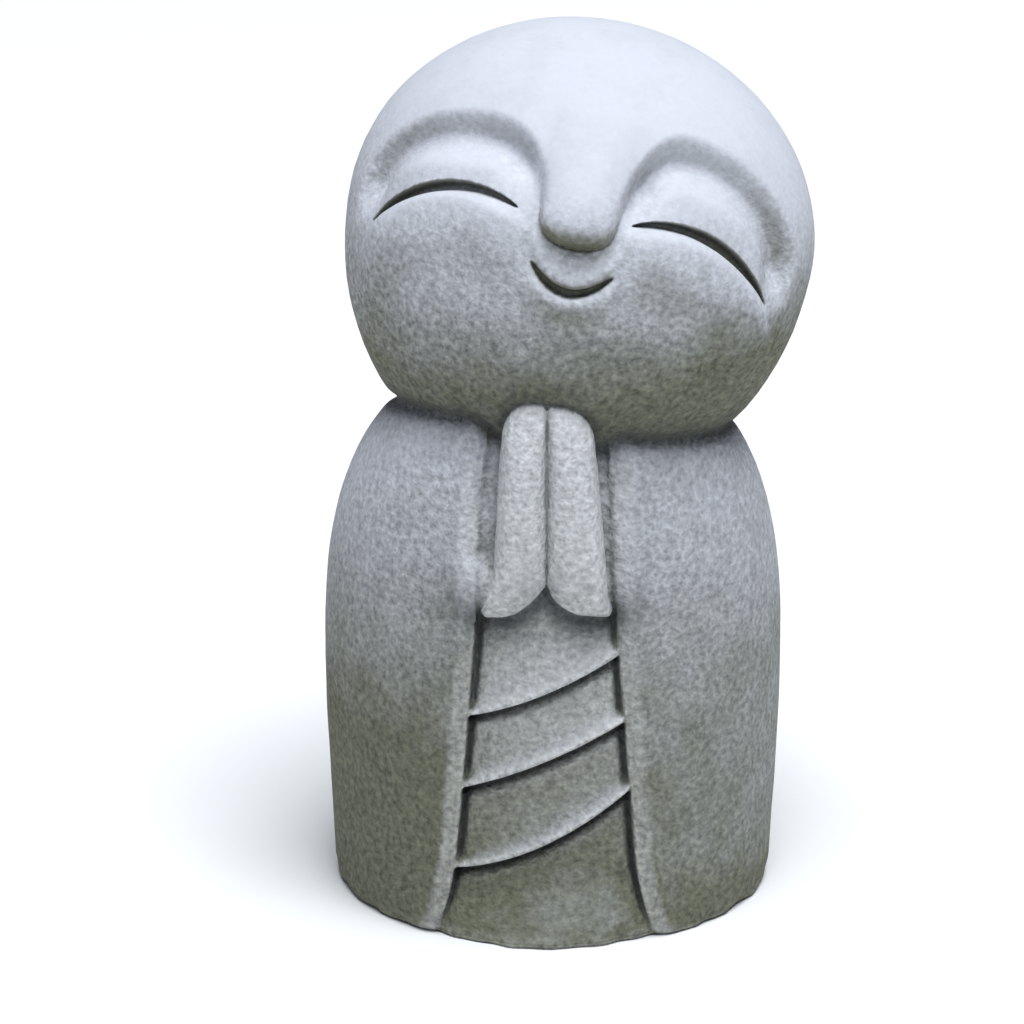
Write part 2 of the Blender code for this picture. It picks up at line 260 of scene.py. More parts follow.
@dataclass(frozen=True)
class Fold:
    """Lower lip of one fold of the inner robe, which rises across the opening."""

    middle_up: float
    rise: float
    sag: float
    half_span: float = 6.1

    def height(self, offset: Array) -> Array:
        """Height of the lip at places across from the opening's middle line."""
        return self.middle_up + self.rise * offset + self.sag * ((offset / self.half_span) ** 2 - 0.5)


@dataclass
class Opening:
    """Open front of the robe: rolled edges, and the folds of the inner robe between them."""

    middle: float = -0.7
    half_width: float = 6.35
    wrist_up: float = 33.0
    narrow_from: float = 37.0
    top_up: float = 51.5
    spread: float = 0.080
    close: float = 0.00055
    flare: float = 1.3
    flare_up: float = 9.0
    rim_width: float = 1.7
    rim_drop: float = 0.45
    rim_proud: float = 0.16
    rim_spread: float = 0.6
    wall_width: float = 0.36
    hand_wall_width: float = 0.7
    layer_depth: float = 1.40
    tile_proud: float = 0.48
    tile_length: float = 2.6
    bead_proud: float = 0.42
    bead_extra: float = 0.24
    bead_width: float = 0.44
    bead_turn: Span = (-5.0, 5.0)
    lip_span: float = 0.7
    lip_drop: float = 0.26
    crease_depth: float = 0.85
    crease_width: float = 0.44
    gap_depth: float = 0.55
    gap_width: float = 1.15
    gap_flat: float = 0.3
    groove_depth: float = 1.05
    groove_end_up: float = 37.6
    cuff_proud: float = 1.1
    cuff_reach: float = 3.0
    cuff_crest: float = 0.8
    cuff_inner: Span = (1.0, 2.0)
    cuff_fade: Span = (-8.0, 1.5)
    edge_turn: float = 1.0
    toe_up: float = 9.5
    toe_side: float = 0.5
    toe_swell: float = 1.2
    top_fade: float = 1.5
    detail_reach: Steps = (3.0, 2.4, 0.75, 0.3)
    detail_above: float = 1.0
    lip_detail: Steps = (1.0, 0.35)
    lip_middle: float = 0.15
    edge_detail: Span = (0.75, 17.0)
    folds: tuple[Fold, ...] = (
        Fold(10.5, 0.53, 0.65),
        Fold(18.6, 0.47, 0.20),
        Fold(25.4, 0.46, 0.40),
    )

    def half_width_at(self, up: Array) -> Array:
        """Work out how wide the opening is.

        Args:
            up: Heights.

        Returns:
            Half its width at each height.
        """
        above = np.clip(up - self.narrow_from, 0.0, None)
        below = np.clip(self.wrist_up - up, 0.0, None)
        flare = self.flare * np.clip(1.0 - up / self.flare_up, 0.0, None) ** 2
        return self.half_width - self.close * above**3 + self.spread * below + flare

    def inside(self, across: Array, up: Array) -> Array:
        """Distance inside the nearer edge of the opening, negative outside it."""
        return self.half_width_at(up) - np.abs(across - self.middle)

    def floor(self, across: Array, up: Array) -> Array:
        """Depth of the inner robe under the outer one.

        Each layer swells towards its lower lip like a roof tile and ends there in a small bead, with
        a crease cut under it.

        Args:
            across: Places on the X axis.
            up: Heights.

        Returns:
            Depths, positive inwards.
        """
        offset = across - self.middle
        depth = np.full_like(up, self.layer_depth)
        lips = np.zeros_like(up)
        for fold in self.folds:
            above = up - fold.height(offset)
            on_layer = ramp(-0.5 * self.lip_drop, 0.5 * self.lip_drop, above)
            crease = self.crease_depth * bell(above + self.crease_width, self.crease_width)
            tile = np.exp(-np.clip(above, 0.0, None) / self.tile_length)
            bead = bell(above - self.bead_width, self.bead_width)
            proud = self.bead_proud + self.bead_extra * ramp(*self.bead_turn, offset)
            layer = self.layer_depth - self.tile_proud * tile - proud * bead
            depth = mix(depth + crease, layer, on_layer)
            past_bead = np.clip(above - self.bead_width, 0.0, None)
            lips = np.maximum(lips, bell(past_bead, self.lip_span) * on_layer)
        gap = fall(self.gap_flat * self.gap_width, self.gap_width, self.inside(across, up))
        depth = depth + self.gap_depth * gap * (1.0 - lips)
        toe = self.toe_side - self.toe_swell * (1.0 - (offset / self.half_width_at(up)) ** 2)
        return mix(depth, toe, np.clip(1.0 - up / self.toe_up, 0.0, 1.0) ** 2)

    def inset(self, across: Array, up: Array) -> Array:
        """Carving of the robe's front.

        Args:
            across: Places on the X axis.
            up: Heights.

        Returns:
            Depths below the plain robe, positive inwards.
        """
        inside = self.inside(across, up)
        roll = np.clip(inside / self.rim_width + 1.0, 0.0, 1.0) ** 2 * self.rim_drop
        raised = self.rim_proud * bell(inside + self.rim_width, self.rim_spread * self.rim_width)
        turn = self.edge_turn
        behind_hands = ramp(self.wrist_up - turn, self.wrist_up + turn, up)
        below_cuff_top = fall(self.groove_end_up - turn, self.groove_end_up + turn, up)
        on_left = across < self.middle
        floor = mix(self.floor(across, up), self.groove_depth, behind_hands)
        floor = np.where(on_left, mix(floor, self.rim_drop, below_cuff_top * behind_hands), floor)
        wall_width = mix(self.wall_width, self.hand_wall_width, behind_hands)
        carved = mix(roll - raised, floor, ramp(0.0, 1.0, inside / wall_width))
        swell = ramp(-self.cuff_reach, self.cuff_crest, inside) * fall(*self.cuff_inner, inside)
        low, high = self.cuff_fade
        outer_swell = ramp(self.wrist_up + low, self.wrist_up + high, up)
        swell = swell * np.where(inside < 0.0, outer_swell, behind_hands)
        carved = carved - self.cuff_proud * below_cuff_top * swell * on_left
        return carved * fall(self.top_up, self.top_up + self.top_fade, up)

    def wants_detail(self, across: Array, up: Array, level: int) -> Array:
        """Where the robe's mesh is halved for the carving.

        Args:
            across: Places on the X axis.
            up: Heights.
            level: 0 for the first halving, which reaches widest.

        Returns:
            True where an edge is halved.
        """
        inside = self.inside(across, up)
        wanted = (inside > -self.detail_reach[level]) & (up < self.top_up + self.detail_above)
        if level > 1:
            near_lip = np.zeros_like(wanted)
            for fold in self.folds:
                above_lip = up - fold.height(across - self.middle)
                near_lip |= np.abs(above_lip - self.lip_middle) < self.lip_detail[level - 2]
            width, rise = self.edge_detail
            near_edge = (inside < width) & (up < self.wrist_up + rise) & (level == 2)
            wanted &= (near_lip & (up < self.wrist_up)) | near_edge
        return wanted


@dataclass
class Robe:
    """Outer robe: a turned body, oval in plan, whose shoulders are lifted towards the chin."""

    half_width: float = 21.3
    depth_ratio: float = 0.93
    belly_up: float = 22.0
    top_up: float = 52.0
    shoulder_power: float = 2.65
    foot_taper: float = 0.95
    foot_power: float = 1.4
    foot_edge: float = 0.6
    foot_wobble: float = 0.55
    foot_chip: float = 0.30
    collar_tilt: float = 6.4
    collar_bow: float = 4.2
    collar_span: float = 20.0
    collar_inner_radius: float = 12.0
    turn_steps: int = 96
    ring_gap: float = 1.3
    shoulder_rings: float = 1.5
    cap_height: float = 2.0
    halvings: int = 18
    foot_rings: Steps = (0.72, 0.36, 0.0)
    foot_edge_steps: int = 3
    rim_band: float = 2.2
    flat_up: float = 0.01
    detail_levels: int = 4
    near_head_from: float = 30.0
    opening: Opening = field(default_factory=Opening)

    def radius_at(self, level: Array) -> Array:
        """Work out the radius of the turned body.

        Args:
            level: Heights before the shoulders are lifted.

        Returns:
            The radius at each height.
        """
        drop = np.clip(1.0 - level / self.belly_up, 0.0, 1.0)
        rise = np.clip((level - self.belly_up) / (self.top_up - self.belly_up), 0.0, 1.0)
        power = self.shoulder_power
        wall = self.half_width - self.foot_taper * drop**self.foot_power
        shoulder = self.half_width * (1.0 - rise**power) ** (1.0 / power)
        return np.where(level < self.belly_up, wall, shoulder)

    def lift(self, turn: Array, radius: Array, level: Array) -> Array:
        """How far the shoulders are lifted.

        Args:
            turn: Directions about +Z, in radians.
            radius: Distances from the axis.
            level: Heights before the lift.

        Returns:
            Heights to add.
        """
        forward = -np.sin(turn)
        lift = self.collar_tilt * forward + self.collar_bow * forward**2
        share = ramp(self.belly_up, self.belly_up + self.collar_span, level)
        return lift * share * np.clip(radius / self.collar_inner_radius, 0.0, 1.0)

    def gap_to(self, points: Array) -> Array:
        """Measure how far places lie from the plain robe.

        Args:
            points: Places in the figure, a row for each.

        Returns:
            Level distances outside the robe, negative inside it.
        """
        turn = np.arctan2(points[:, 1] / self.depth_ratio, points[:, 0])
        low = np.zeros(len(points))
        high = np.full(len(points), self.top_up)
        for _ in range(self.halvings):
            level = 0.5 * (low + high)
            over = level + self.lift(turn, self.radius_at(level), level) > points[:, 2]
            high = np.where(over, level, high)
            low = np.where(over, low, level)
        reach = np.hypot(points[:, 0], points[:, 1] / self.depth_ratio)
        return reach - self.radius_at(low)

    def profile(self) -> list[tuple[float, float]]:
        """Draw the side of the turned body.

        Returns:
            Its points as (radius, height), from the top to the middle of the underside.
        """
        rings = round((self.top_up - self.belly_up) / self.ring_gap * self.shoulder_rings)
        points = [(0.0, self.top_up)]
        for ring in range(1, rings):
            level = self.belly_up + (self.top_up - self.belly_up) * math.cos(0.5 * math.pi * ring / rings)
            points.append((float(self.radius_at(np.array(level))), level))
        rings = round((self.belly_up - self.foot_edge) / self.ring_gap)
        for ring in range(rings):
            level = self.belly_up + (self.foot_edge - self.belly_up) * ring / rings
            points.append((float(self.radius_at(np.array(level))), level))
        foot = float(self.radius_at(np.array(self.foot_edge))) - self.foot_edge
        for step in range(self.foot_edge_steps + 1):
            angle = 0.5 * math.pi * step / self.foot_edge_steps
            edge = (foot + self.foot_edge * math.cos(angle), self.foot_edge * (1.0 - math.sin(angle)))
            points.append(edge)
        points += [(share * foot, 0.0) for share in self.foot_rings]
        return points

    def shaped(self, points: Array) -> Array:
        """Places on the finished plain robe of points on the turned body.

        Args:
            points: Points on the turned body, or on chords of it.

        Returns:
            The points on the true round, lifted and pressed to the oval plan.
        """
        radius = np.hypot(points[:, 0], points[:, 1])
        level = points[:, 2]
        on_side = (level > self.foot_edge) & (level < self.top_up - self.cap_height)
        scale = np.where(on_side, self.radius_at(level) / np.maximum(radius, TINY), 1.0)
        turn = np.arctan2(points[:, 1], points[:, 0])
        up = level + self.lift(turn, radius, level)
        return np.stack([points[:, 0] * scale, points[:, 1] * scale * self.depth_ratio, up], axis=1)

    def on_underside(self, points: Array) -> Array:
        """Tells which points of the turned body are on its underside, clear of the rim."""
        radius = np.hypot(points[:, 0], points[:, 1])
        return (points[:, 2] < self.flat_up) & (radius < self.half_width - self.rim_band)

    def wants_detail(self, points: Array, level: int) -> Array:
        """Where the turned body is halved for the opening.

        Args:
            points: Middles of edges of the turned body.
            level: 0 for the first halving.

        Returns:
            True where an edge is halved.
        """
        placed = self.shaped(points)
        carved = self.opening.wants_detail(placed[:, 0], placed[:, 2], level)
        return carved & (placed[:, 1] < 0.0) & ~self.on_underside(points)

    def build(self, near_head: Callable[[Array], Array]) -> bpy.types.Object:
        """Turn the body and carve its front.

        Args:
            near_head: Tells which places are close to the head, where the mesh is finer.

        Returns:
            The robe.
        """

        def beside_head(middles: Array) -> Array:
            """Tells which middles of edges are close to the head."""
            return near_head(self.shaped(middles)) & (middles[:, 2] > self.near_head_from)

        bm = bmesh.new()
        verts = [bm.verts.new((radius, 0.0, up)) for radius, up in self.profile()]
        edges = [bm.edges.new(pair) for pair in zip(verts, verts[1:])]
        bmesh.ops.spin(
            bm,
            geom=verts + edges,
            cent=(0.0, 0.0, 0.0),
            axis=(0.0, 0.0, 1.0),
            angle=2.0 * math.pi,
            steps=self.turn_steps,
            use_merge=True,
        )
        bmesh.ops.remove_doubles(bm, verts=bm.verts, dist=TINY)
        bm = settled(bm)
        for level in range(self.detail_levels):
            refine(bm, lambda middles, level=level: self.wants_detail(middles, level))
            if level == 0:
                refine(bm, beside_head)
        turned = read_points(bm)
        points = self.shaped(turned)
        front = (points[:, 1] < 0.0) & ~self.on_underside(turned)
        points[:, 1] += np.where(front, self.opening.inset(points[:, 0], points[:, 2]), 0.0)
        write_points(bm, points)
        return make_object("robe", bm, Part.ROBE)


@dataclass(frozen=True)
class Brow:
    """Arch of one brow, by distance out from the nose line and height up from the head's centre."""

    across: float
    up: float
    inner_span: float
    inner_power: float
    outer_span: float
    outer_power: float
    drop: float
    lowest_up: float = 0.5

    def inside(self, across: Array, up: Array) -> Array:
        """Measure how far places are inside the arch.

        Args:
            across: Distances round the head, out from the nose line.
            up: Heights up from the head's centre.

        Returns:
            Distances inside the arch, negative outside it.
        """
        offset = np.abs(across - self.across)
        inner = across < self.across
        span = np.where(inner, self.inner_span, self.outer_span)
        power = np.where(inner, self.inner_power, self.outer_power)
        up = np.clip(up, self.lowest_up, None)
        ratio = ((offset / span) ** power + (up / self.up) ** power) ** (1.0 / power)
        return np.hypot(offset, up) * (1.0 / ratio - 1.0)


@dataclass(frozen=True)
class Slit:
    """Tapered groove along an arc, by distance across and height up.

    A positive curve bends the ends down, and a negative one bends them up.
    """

    across: float
    up: float
    curve: float
    start: float
    end: float
    half_thickness: float
    depth: float
    detail_end: float = 1.05

    def height(self, across: Array) -> Array:
        """Height of the arc."""
        return self.up - self.curve * (across - self.across) ** 2

    def off(self, across: Array, up: Array) -> Array:
        """Distance from the arc, positive above it."""
        slope = 2.0 * self.curve * (across - self.across)
        return (up - self.height(across)) / np.sqrt(1.0 + slope**2)

    def along(self, across: Array) -> Array:
        """Place along the arc, from -1 at its start to 1 at its end."""
        return (2.0 * across - self.start - self.end) / (self.end - self.start)

    def cut(self, across: Array, up: Array) -> Array:
        """Depth of the groove, positive inwards."""
        return groove(self.along(across), self.off(across, up), self.half_thickness, self.depth)

    def near(self, across: Array, up: Array, reach: float) -> Array:
        """Tells which places are within a reach of the groove."""
        return (np.abs(self.off(across, up)) < reach) & (np.abs(self.along(across)) < self.detail_end)


def groove(along: Array, off: Array, half_thickness: float, depth: float) -> Array:
    """Depth of a groove that tapers at both ends.

    Args:
        along: Places along the groove, from -1 to 1 at its ends.
        off: Distances from its middle line.
        half_thickness: Half its width at the middle.
        depth: Its depth at the middle.

    Returns:
        Depths, positive inwards.
    """
    taper = np.clip(1.0 - along**2, 0.0, 1.0)
    width = half_thickness * np.maximum(taper**GROOVE_WIDTH_POWER, TINY)
    return depth * taper**GROOVE_DEPTH_POWER * fall(*GROOVE_WALL, np.abs(off) / width)


@dataclass(frozen=True)
class Area:
    """Part of the face about the nose line, by half its width and its lowest and highest point."""

    half_width: float
    low: float
    high: float

    def holds(self, across: Array, up: Array) -> Array:
        """Tells which places are in the area."""
        return (np.abs(across) < self.half_width) & (up > self.low) & (up < self.high)


@dataclass
class Face:
    """Carving of the face.

    Places are distances round the head from the nose line, and heights up from the head's centre.
    """

    brows: dict[Side, Brow] = field(
        default_factory=lambda: {
            Side.LEFT: Brow(10.8, 9.4, 7.5, 2.5, 13.6, 2.0, 2.4),
            Side.RIGHT: Brow(9.9, 10.85, 6.9, 2.3, 13.4, 1.85, 2.55),
        }
    )
    eyes: dict[Side, Slit] = field(
        default_factory=lambda: {
            Side.LEFT: Slit(9.8, 3.25, 0.0405, 5.5, 21.5, 0.56, 0.85),
            Side.RIGHT: Slit(8.1, 3.5, 0.0395, 4.6, 20.2, 0.56, 0.90),
        }
    )
    mouth: Slit = Slit(0.2, -4.05, -0.168, -3.4, 3.8, 0.54, 0.75)
    brow_edge: float = 1.1
    brow_edge_start: float = -0.75
    brow_slope: float = 3.7
    brow_slope_start: float = -0.4
    brow_sharpness: float = 0.70
    brow_inner: float = 1.2
    brow_outer: float = 0.85
    brow_ends: Span = (2.0, 18.0)
    brow_turn: Span = (-6.0, 3.0)
    lid_fullness: float = 0.82
    lid_up: Span = (4.0, 10.0)
    socket_rise: float = 3.8
    socket_rise_inner: float = 2.4
    inner_fade: Span = (1.3, 8.6)
    outer_fade: Span = (-3.0, 1.5)
    cheek_rim: float = 0.75
    cheek_rim_width: float = 1.35
    cheek_fall: float = 7.0
    cheek_start: Span = (3.2, 6.5)
    cheek_end: Span = (19.5, 24.0)
    nose_across: float = -0.1
    nose_up: float = 3.0
    nose_half_width: float = 3.4
    nose_proud: float = 2.1
    nose_underside: float = 2.95
    nose_under_power: float = 0.60
    nose_square: float = 2.5
    nose_bridge: float = 11.0
    nose_bridge_power: float = 0.9
    nose_turn: Span = (-0.5, 4.0)
    nose_flare: float = 0.35
    nose_crease_turn: float = math.radians(88.0)
    nose_crease_out: float = -0.10
    nose_crease_half: float = 0.50
    nose_crease_depth: float = 0.16
    lip_proud: float = 0.28
    lip_up: float = 1.0
    lip_width: float = 0.75
    lip_ends: Span = (2.6, 4.6)
    mouth_rim: float = 0.30
    mouth_rim_rise: Span = (0.1, 0.9)
    mouth_rim_fall: Span = (0.9, 3.2)
    detail_areas: tuple[Area, ...] = (Area(27.0, -9.0, 14.0), Area(24.0, -7.0, 13.0))
    detail_reach: Steps = (1.1, 0.8)
    nose_detail: Area = Area(5.0, -5.5, 9.0)
    brow_detail_middle: float = 0.3
    brow_detail_reach: float = 2.4
    brow_detail_low: float = -2.0

    def socket(self, side: Side, across: Array, up: Array) -> Array:
        """Hollow under a brow: steep below the arch, then a lid that swells towards the eye.

        Args:
            side: Side of the face.
            across: Distances round the head, out from the nose line.
            up: Heights up from the head's centre.

        Returns:
            Heights above the plain oval, so negative in the hollow.
        """
        brow = self.brows[side]
        inside = brow.inside(across, up)
        edge = ramp(self.brow_edge_start * self.brow_edge, self.brow_edge, inside)
        slope = ramp(self.brow_slope_start * self.brow_edge, self.brow_slope, inside)
        cut = brow.drop * mix(slope, edge, self.brow_sharpness)
        cut = cut * mix(self.brow_inner, self.brow_outer, ramp(*self.brow_ends, across))
        start, end = self.brow_turn
        outer = ramp(brow.across + start, brow.across + end, across)
        wide = np.maximum(ramp(*self.lid_up, up), outer)
        rise_width = mix(self.socket_rise_inner, self.socket_rise, wide)
        rise = ramp(0.0, 1.0, (inside - self.brow_edge) / rise_width)
        low, high = (mix(inner, out, outer) for inner, out in zip(self.inner_fade, self.outer_fade))
        return -cut * (1.0 - self.lid_fullness * rise) * ramp(low, high, up)

    def cheek(self, side: Side, across: Array, up: Array) -> Array:
        """Rim that stands out under an eye and falls away down the cheek.

        Args:
            side: Side of the face.
            across: Distances round the head, out from the nose line.
            up: Heights up from the head's centre.

        Returns:
            Heights above the plain oval.
        """
        below = -self.eyes[side].off(across, up)
        reach = ramp(*self.cheek_start, across) * fall(*self.cheek_end, across)
        rise = ramp(0.0, self.cheek_rim_width, below)
        away = fall(self.cheek_rim_width, self.cheek_rim_width + self.cheek_fall, below)
        return self.cheek_rim * reach * rise * away

    def nose(self, across: Array, up: Array) -> Array:
        """A round tip, below a bridge whose sides run out into the forehead.

        Args:
            across: Distances round the head from the nose line.
            up: Heights up from the head's centre.

        Returns:
            Heights above the plain oval.
        """
        above = up - self.nose_up
        across = np.abs(across - self.nose_across)
        bridge = ramp(*self.nose_turn, above)
        wide = self.nose_half_width * (1.0 + self.nose_flare * bridge)
        side = np.clip(1.0 - (across / wide) ** self.nose_square, 0.0, 1.0)
        along = 1.0 - ramp(0.0, self.nose_bridge, above) ** self.nose_bridge_power
        upper = along * side ** (self.nose_under_power + bridge)
        below = (across / self.nose_half_width) ** self.nose_square
        below = below + (np.clip(-above, 0.0, None) / self.nose_underside) ** self.nose_square
        lower = np.clip(1.0 - below, 0.0, 1.0) ** self.nose_under_power
        return self.nose_proud * np.where(above > 0.0, upper, lower)

    def nose_round(self, across: Array, up: Array) -> tuple[Array, Array]:
        """Measure places against the curve under the nose.

        Args:
            across: Distances round the head from the nose line.
            up: Heights up from the head's centre.

        Returns:
            Places along the curve, -1 to 1, and distances from it.
        """
        across = (across - self.nose_across) / (self.nose_half_width + self.nose_crease_out)
        rise = (up - self.nose_up) / (self.nose_underside + self.nose_crease_out)
        off = (np.hypot(across, rise) - 1.0) * self.nose_underside
        return np.arctan2(across, -rise) / self.nose_crease_turn, off

    def lip(self, across: Array, up: Array) -> Array:
        """Beads above and below the smile.

        Args:
            across: Distances round the head from the nose line.
            up: Heights up from the head's centre.

        Returns:
            Heights above the plain oval.
        """
        above = self.mouth.off(across, up)
        reach = fall(*self.lip_ends, np.abs(across - self.mouth.across))
        upper = bell(above - self.lip_up, self.lip_width)
        lower = ramp(*self.mouth_rim_rise, -above) * fall(*self.mouth_rim_fall, -above)
        return reach * (self.lip_proud * upper + self.mouth_rim * lower)

    def relief(self, across: Array, up: Array) -> Array:
        """Put the carving of the face together.

        Args:
            across: Distances round the head from the nose line.
            up: Heights up from the head's centre.

        Returns:
            Heights above the plain oval, negative where it is cut in.
        """
        raised = {}
        for side in Side:
            out = across * side.value
            raised[side] = self.socket(side, out, up) + self.cheek(side, out, up)
            raised[side] = raised[side] - self.eyes[side].cut(out, up)
        both = np.where(across < 0.0, raised[Side.LEFT], raised[Side.RIGHT])
        along, off = self.nose_round(across, up)
        cuts = groove(along, off, self.nose_crease_half, self.nose_crease_depth)
        cuts = cuts + self.mouth.cut(across, up)
        return both + self.nose(across, up) + self.lip(across, up) - cuts

    def wants_detail(self, across: Array, up: Array, level: int) -> Array:
        """Where the head's mesh is halved for the carving.

        Args:
            across: Distances round the head from the nose line.
            up: Heights up from the head's centre.
            level: 0 for the first halving, which reaches widest.

        Returns:
            True where an edge is halved.
        """
        if level < len(self.detail_areas):
            return self.detail_areas[level].holds(across, up)
        first_fine = level == len(self.detail_areas)
        reach = self.detail_reach[level - len(self.detail_areas)]
        wanted = self.mouth.near(across, up, reach)
        along, off = self.nose_round(across, up)
        wanted |= (np.abs(off) < reach) & (np.abs(along) < 1.0)
        for side in Side:
            out = across * side.value
            wanted |= self.eyes[side].near(out, up, reach)
            if first_fine:
                off_brow = self.brows[side].inside(out, up) - self.brow_detail_middle
                near_brow = np.abs(off_brow) < self.brow_detail_reach
                wanted |= near_brow & (up > self.brow_detail_low) & (out > 0.0)
        if first_fine:
            wanted |= self.nose_detail.holds(across, up)
        return wanted


@dataclass
class Head:
    """Oval head that leans to +X and looks upward."""

    centre: Vector = field(default_factory=lambda: Vector((2.45, -1.0, 63.69)))
    half_width: float = 21.4
    half_depth: float = 19.5
    crown: float = 19.25
    chin: float = 24.15
    lean: float = math.radians(12.0)
    pitch: float = math.radians(12.0)
    turn: float = math.radians(-5.0)
    sphere_levels: int = 5
    detail_levels: int = 4
    joint_reach: float = 1.6
    plain_radius: float = 20.0
    face: Face = field(default_factory=Face)

    def placing(self) -> Array:
        """Turn of the head, as a 3 x 3 matrix."""
        turned = Matrix.Rotation(self.lean, 3, "Y") @ Matrix.Rotation(-self.pitch, 3, "X")
        return np.array(turned @ Matrix.Rotation(self.turn, 3, "Z"))

    def axes(self, up: Array) -> Array:
        """Half sizes of the oval along its three axes, a row for each height's sign."""
        level = [np.full_like(up, half) for half in (self.half_width, self.half_depth)]
        return np.stack([*level, np.where(up > 0.0, self.crown, self.chin)], axis=1)

    def near(self, points: Array) -> Array:
        """Tells which places lie close to the plain oval's surface.

        Args:
            points: Places in the figure, a row for each.

        Returns:
            True for those that are close.
        """
        local = (points - np.array(self.centre)) @ self.placing()
        ratio = np.linalg.norm(local / self.axes(local[:, 2]), axis=1)
        return np.abs(ratio - 1.0) * self.plain_radius < self.joint_reach

    def on_face(self, directions: Array) -> tuple[Array, Array]:
        """Places on the face of directions from the head's centre.

        Args:
            directions: Unit directions, a row for each.

        Returns:
            Distances round from the nose line, and heights up from the centre.
        """
        mean_radius = 0.5 * (self.half_width + self.half_depth)
        across = mean_radius * np.arctan2(directions[:, 0], -directions[:, 1])
        return across, (directions * self.axes(directions[:, 2]))[:, 2]

    def surface(self, directions: Array) -> Array:
        """Find places on the carved head.

        Args:
            directions: Unit directions from the head's centre, a row for each.

        Returns:
            The places in the figure.
        """
        axes = self.axes(directions[:, 2])
        points = directions * axes
        outward = directions / axes
        outward /= np.linalg.norm(outward, axis=1, keepdims=True)
        across, up = self.on_face(directions)
        relief = np.where(directions[:, 1] < 0.0, self.face.relief(across, up), 0.0)
        points = points + outward * relief[:, None]
        return points @ self.placing().T + np.array(self.centre)

    def build(self, robe: Robe) -> bpy.types.Object:
        """Carve the head from a sphere.

        Args:
            robe: Robe that the head sinks into, near which the mesh is finer.

        Returns:
            The head.
        """

        def carved(directions: Array, level: int) -> Array:
            """Tells which directions are where the face is carved."""
            across, up = self.on_face(directions)
            return self.face.wants_detail(across, up, level) & (directions[:, 1] < 0.0)

        def joined(directions: Array) -> Array:
            """Tells which directions meet the head close to the robe."""
            return np.abs(robe.gap_to(self.surface(directions))) < self.joint_reach

        bm = bmesh.new()
        bmesh.ops.create_icosphere(bm, subdivisions=self.sphere_levels, radius=1.0)
        for level in range(self.detail_levels):
            refine(bm, lambda middles, level=level: carved(middles, level))
            if level == 0:
                refine(bm, joined)
            bmesh.ops.triangulate(bm, faces=bm.faces)
            points = read_points(bm)
            write_points(bm, points / np.linalg.norm(points, axis=1, keepdims=True))
        write_points(bm, self.surface(read_points(bm)))
        return make_object("head", bm, Part.HEAD)


@dataclass(frozen=True)
class Corner:
    """Rounding of one corner of a hand's outline, across and up."""

    across: float
    up: float


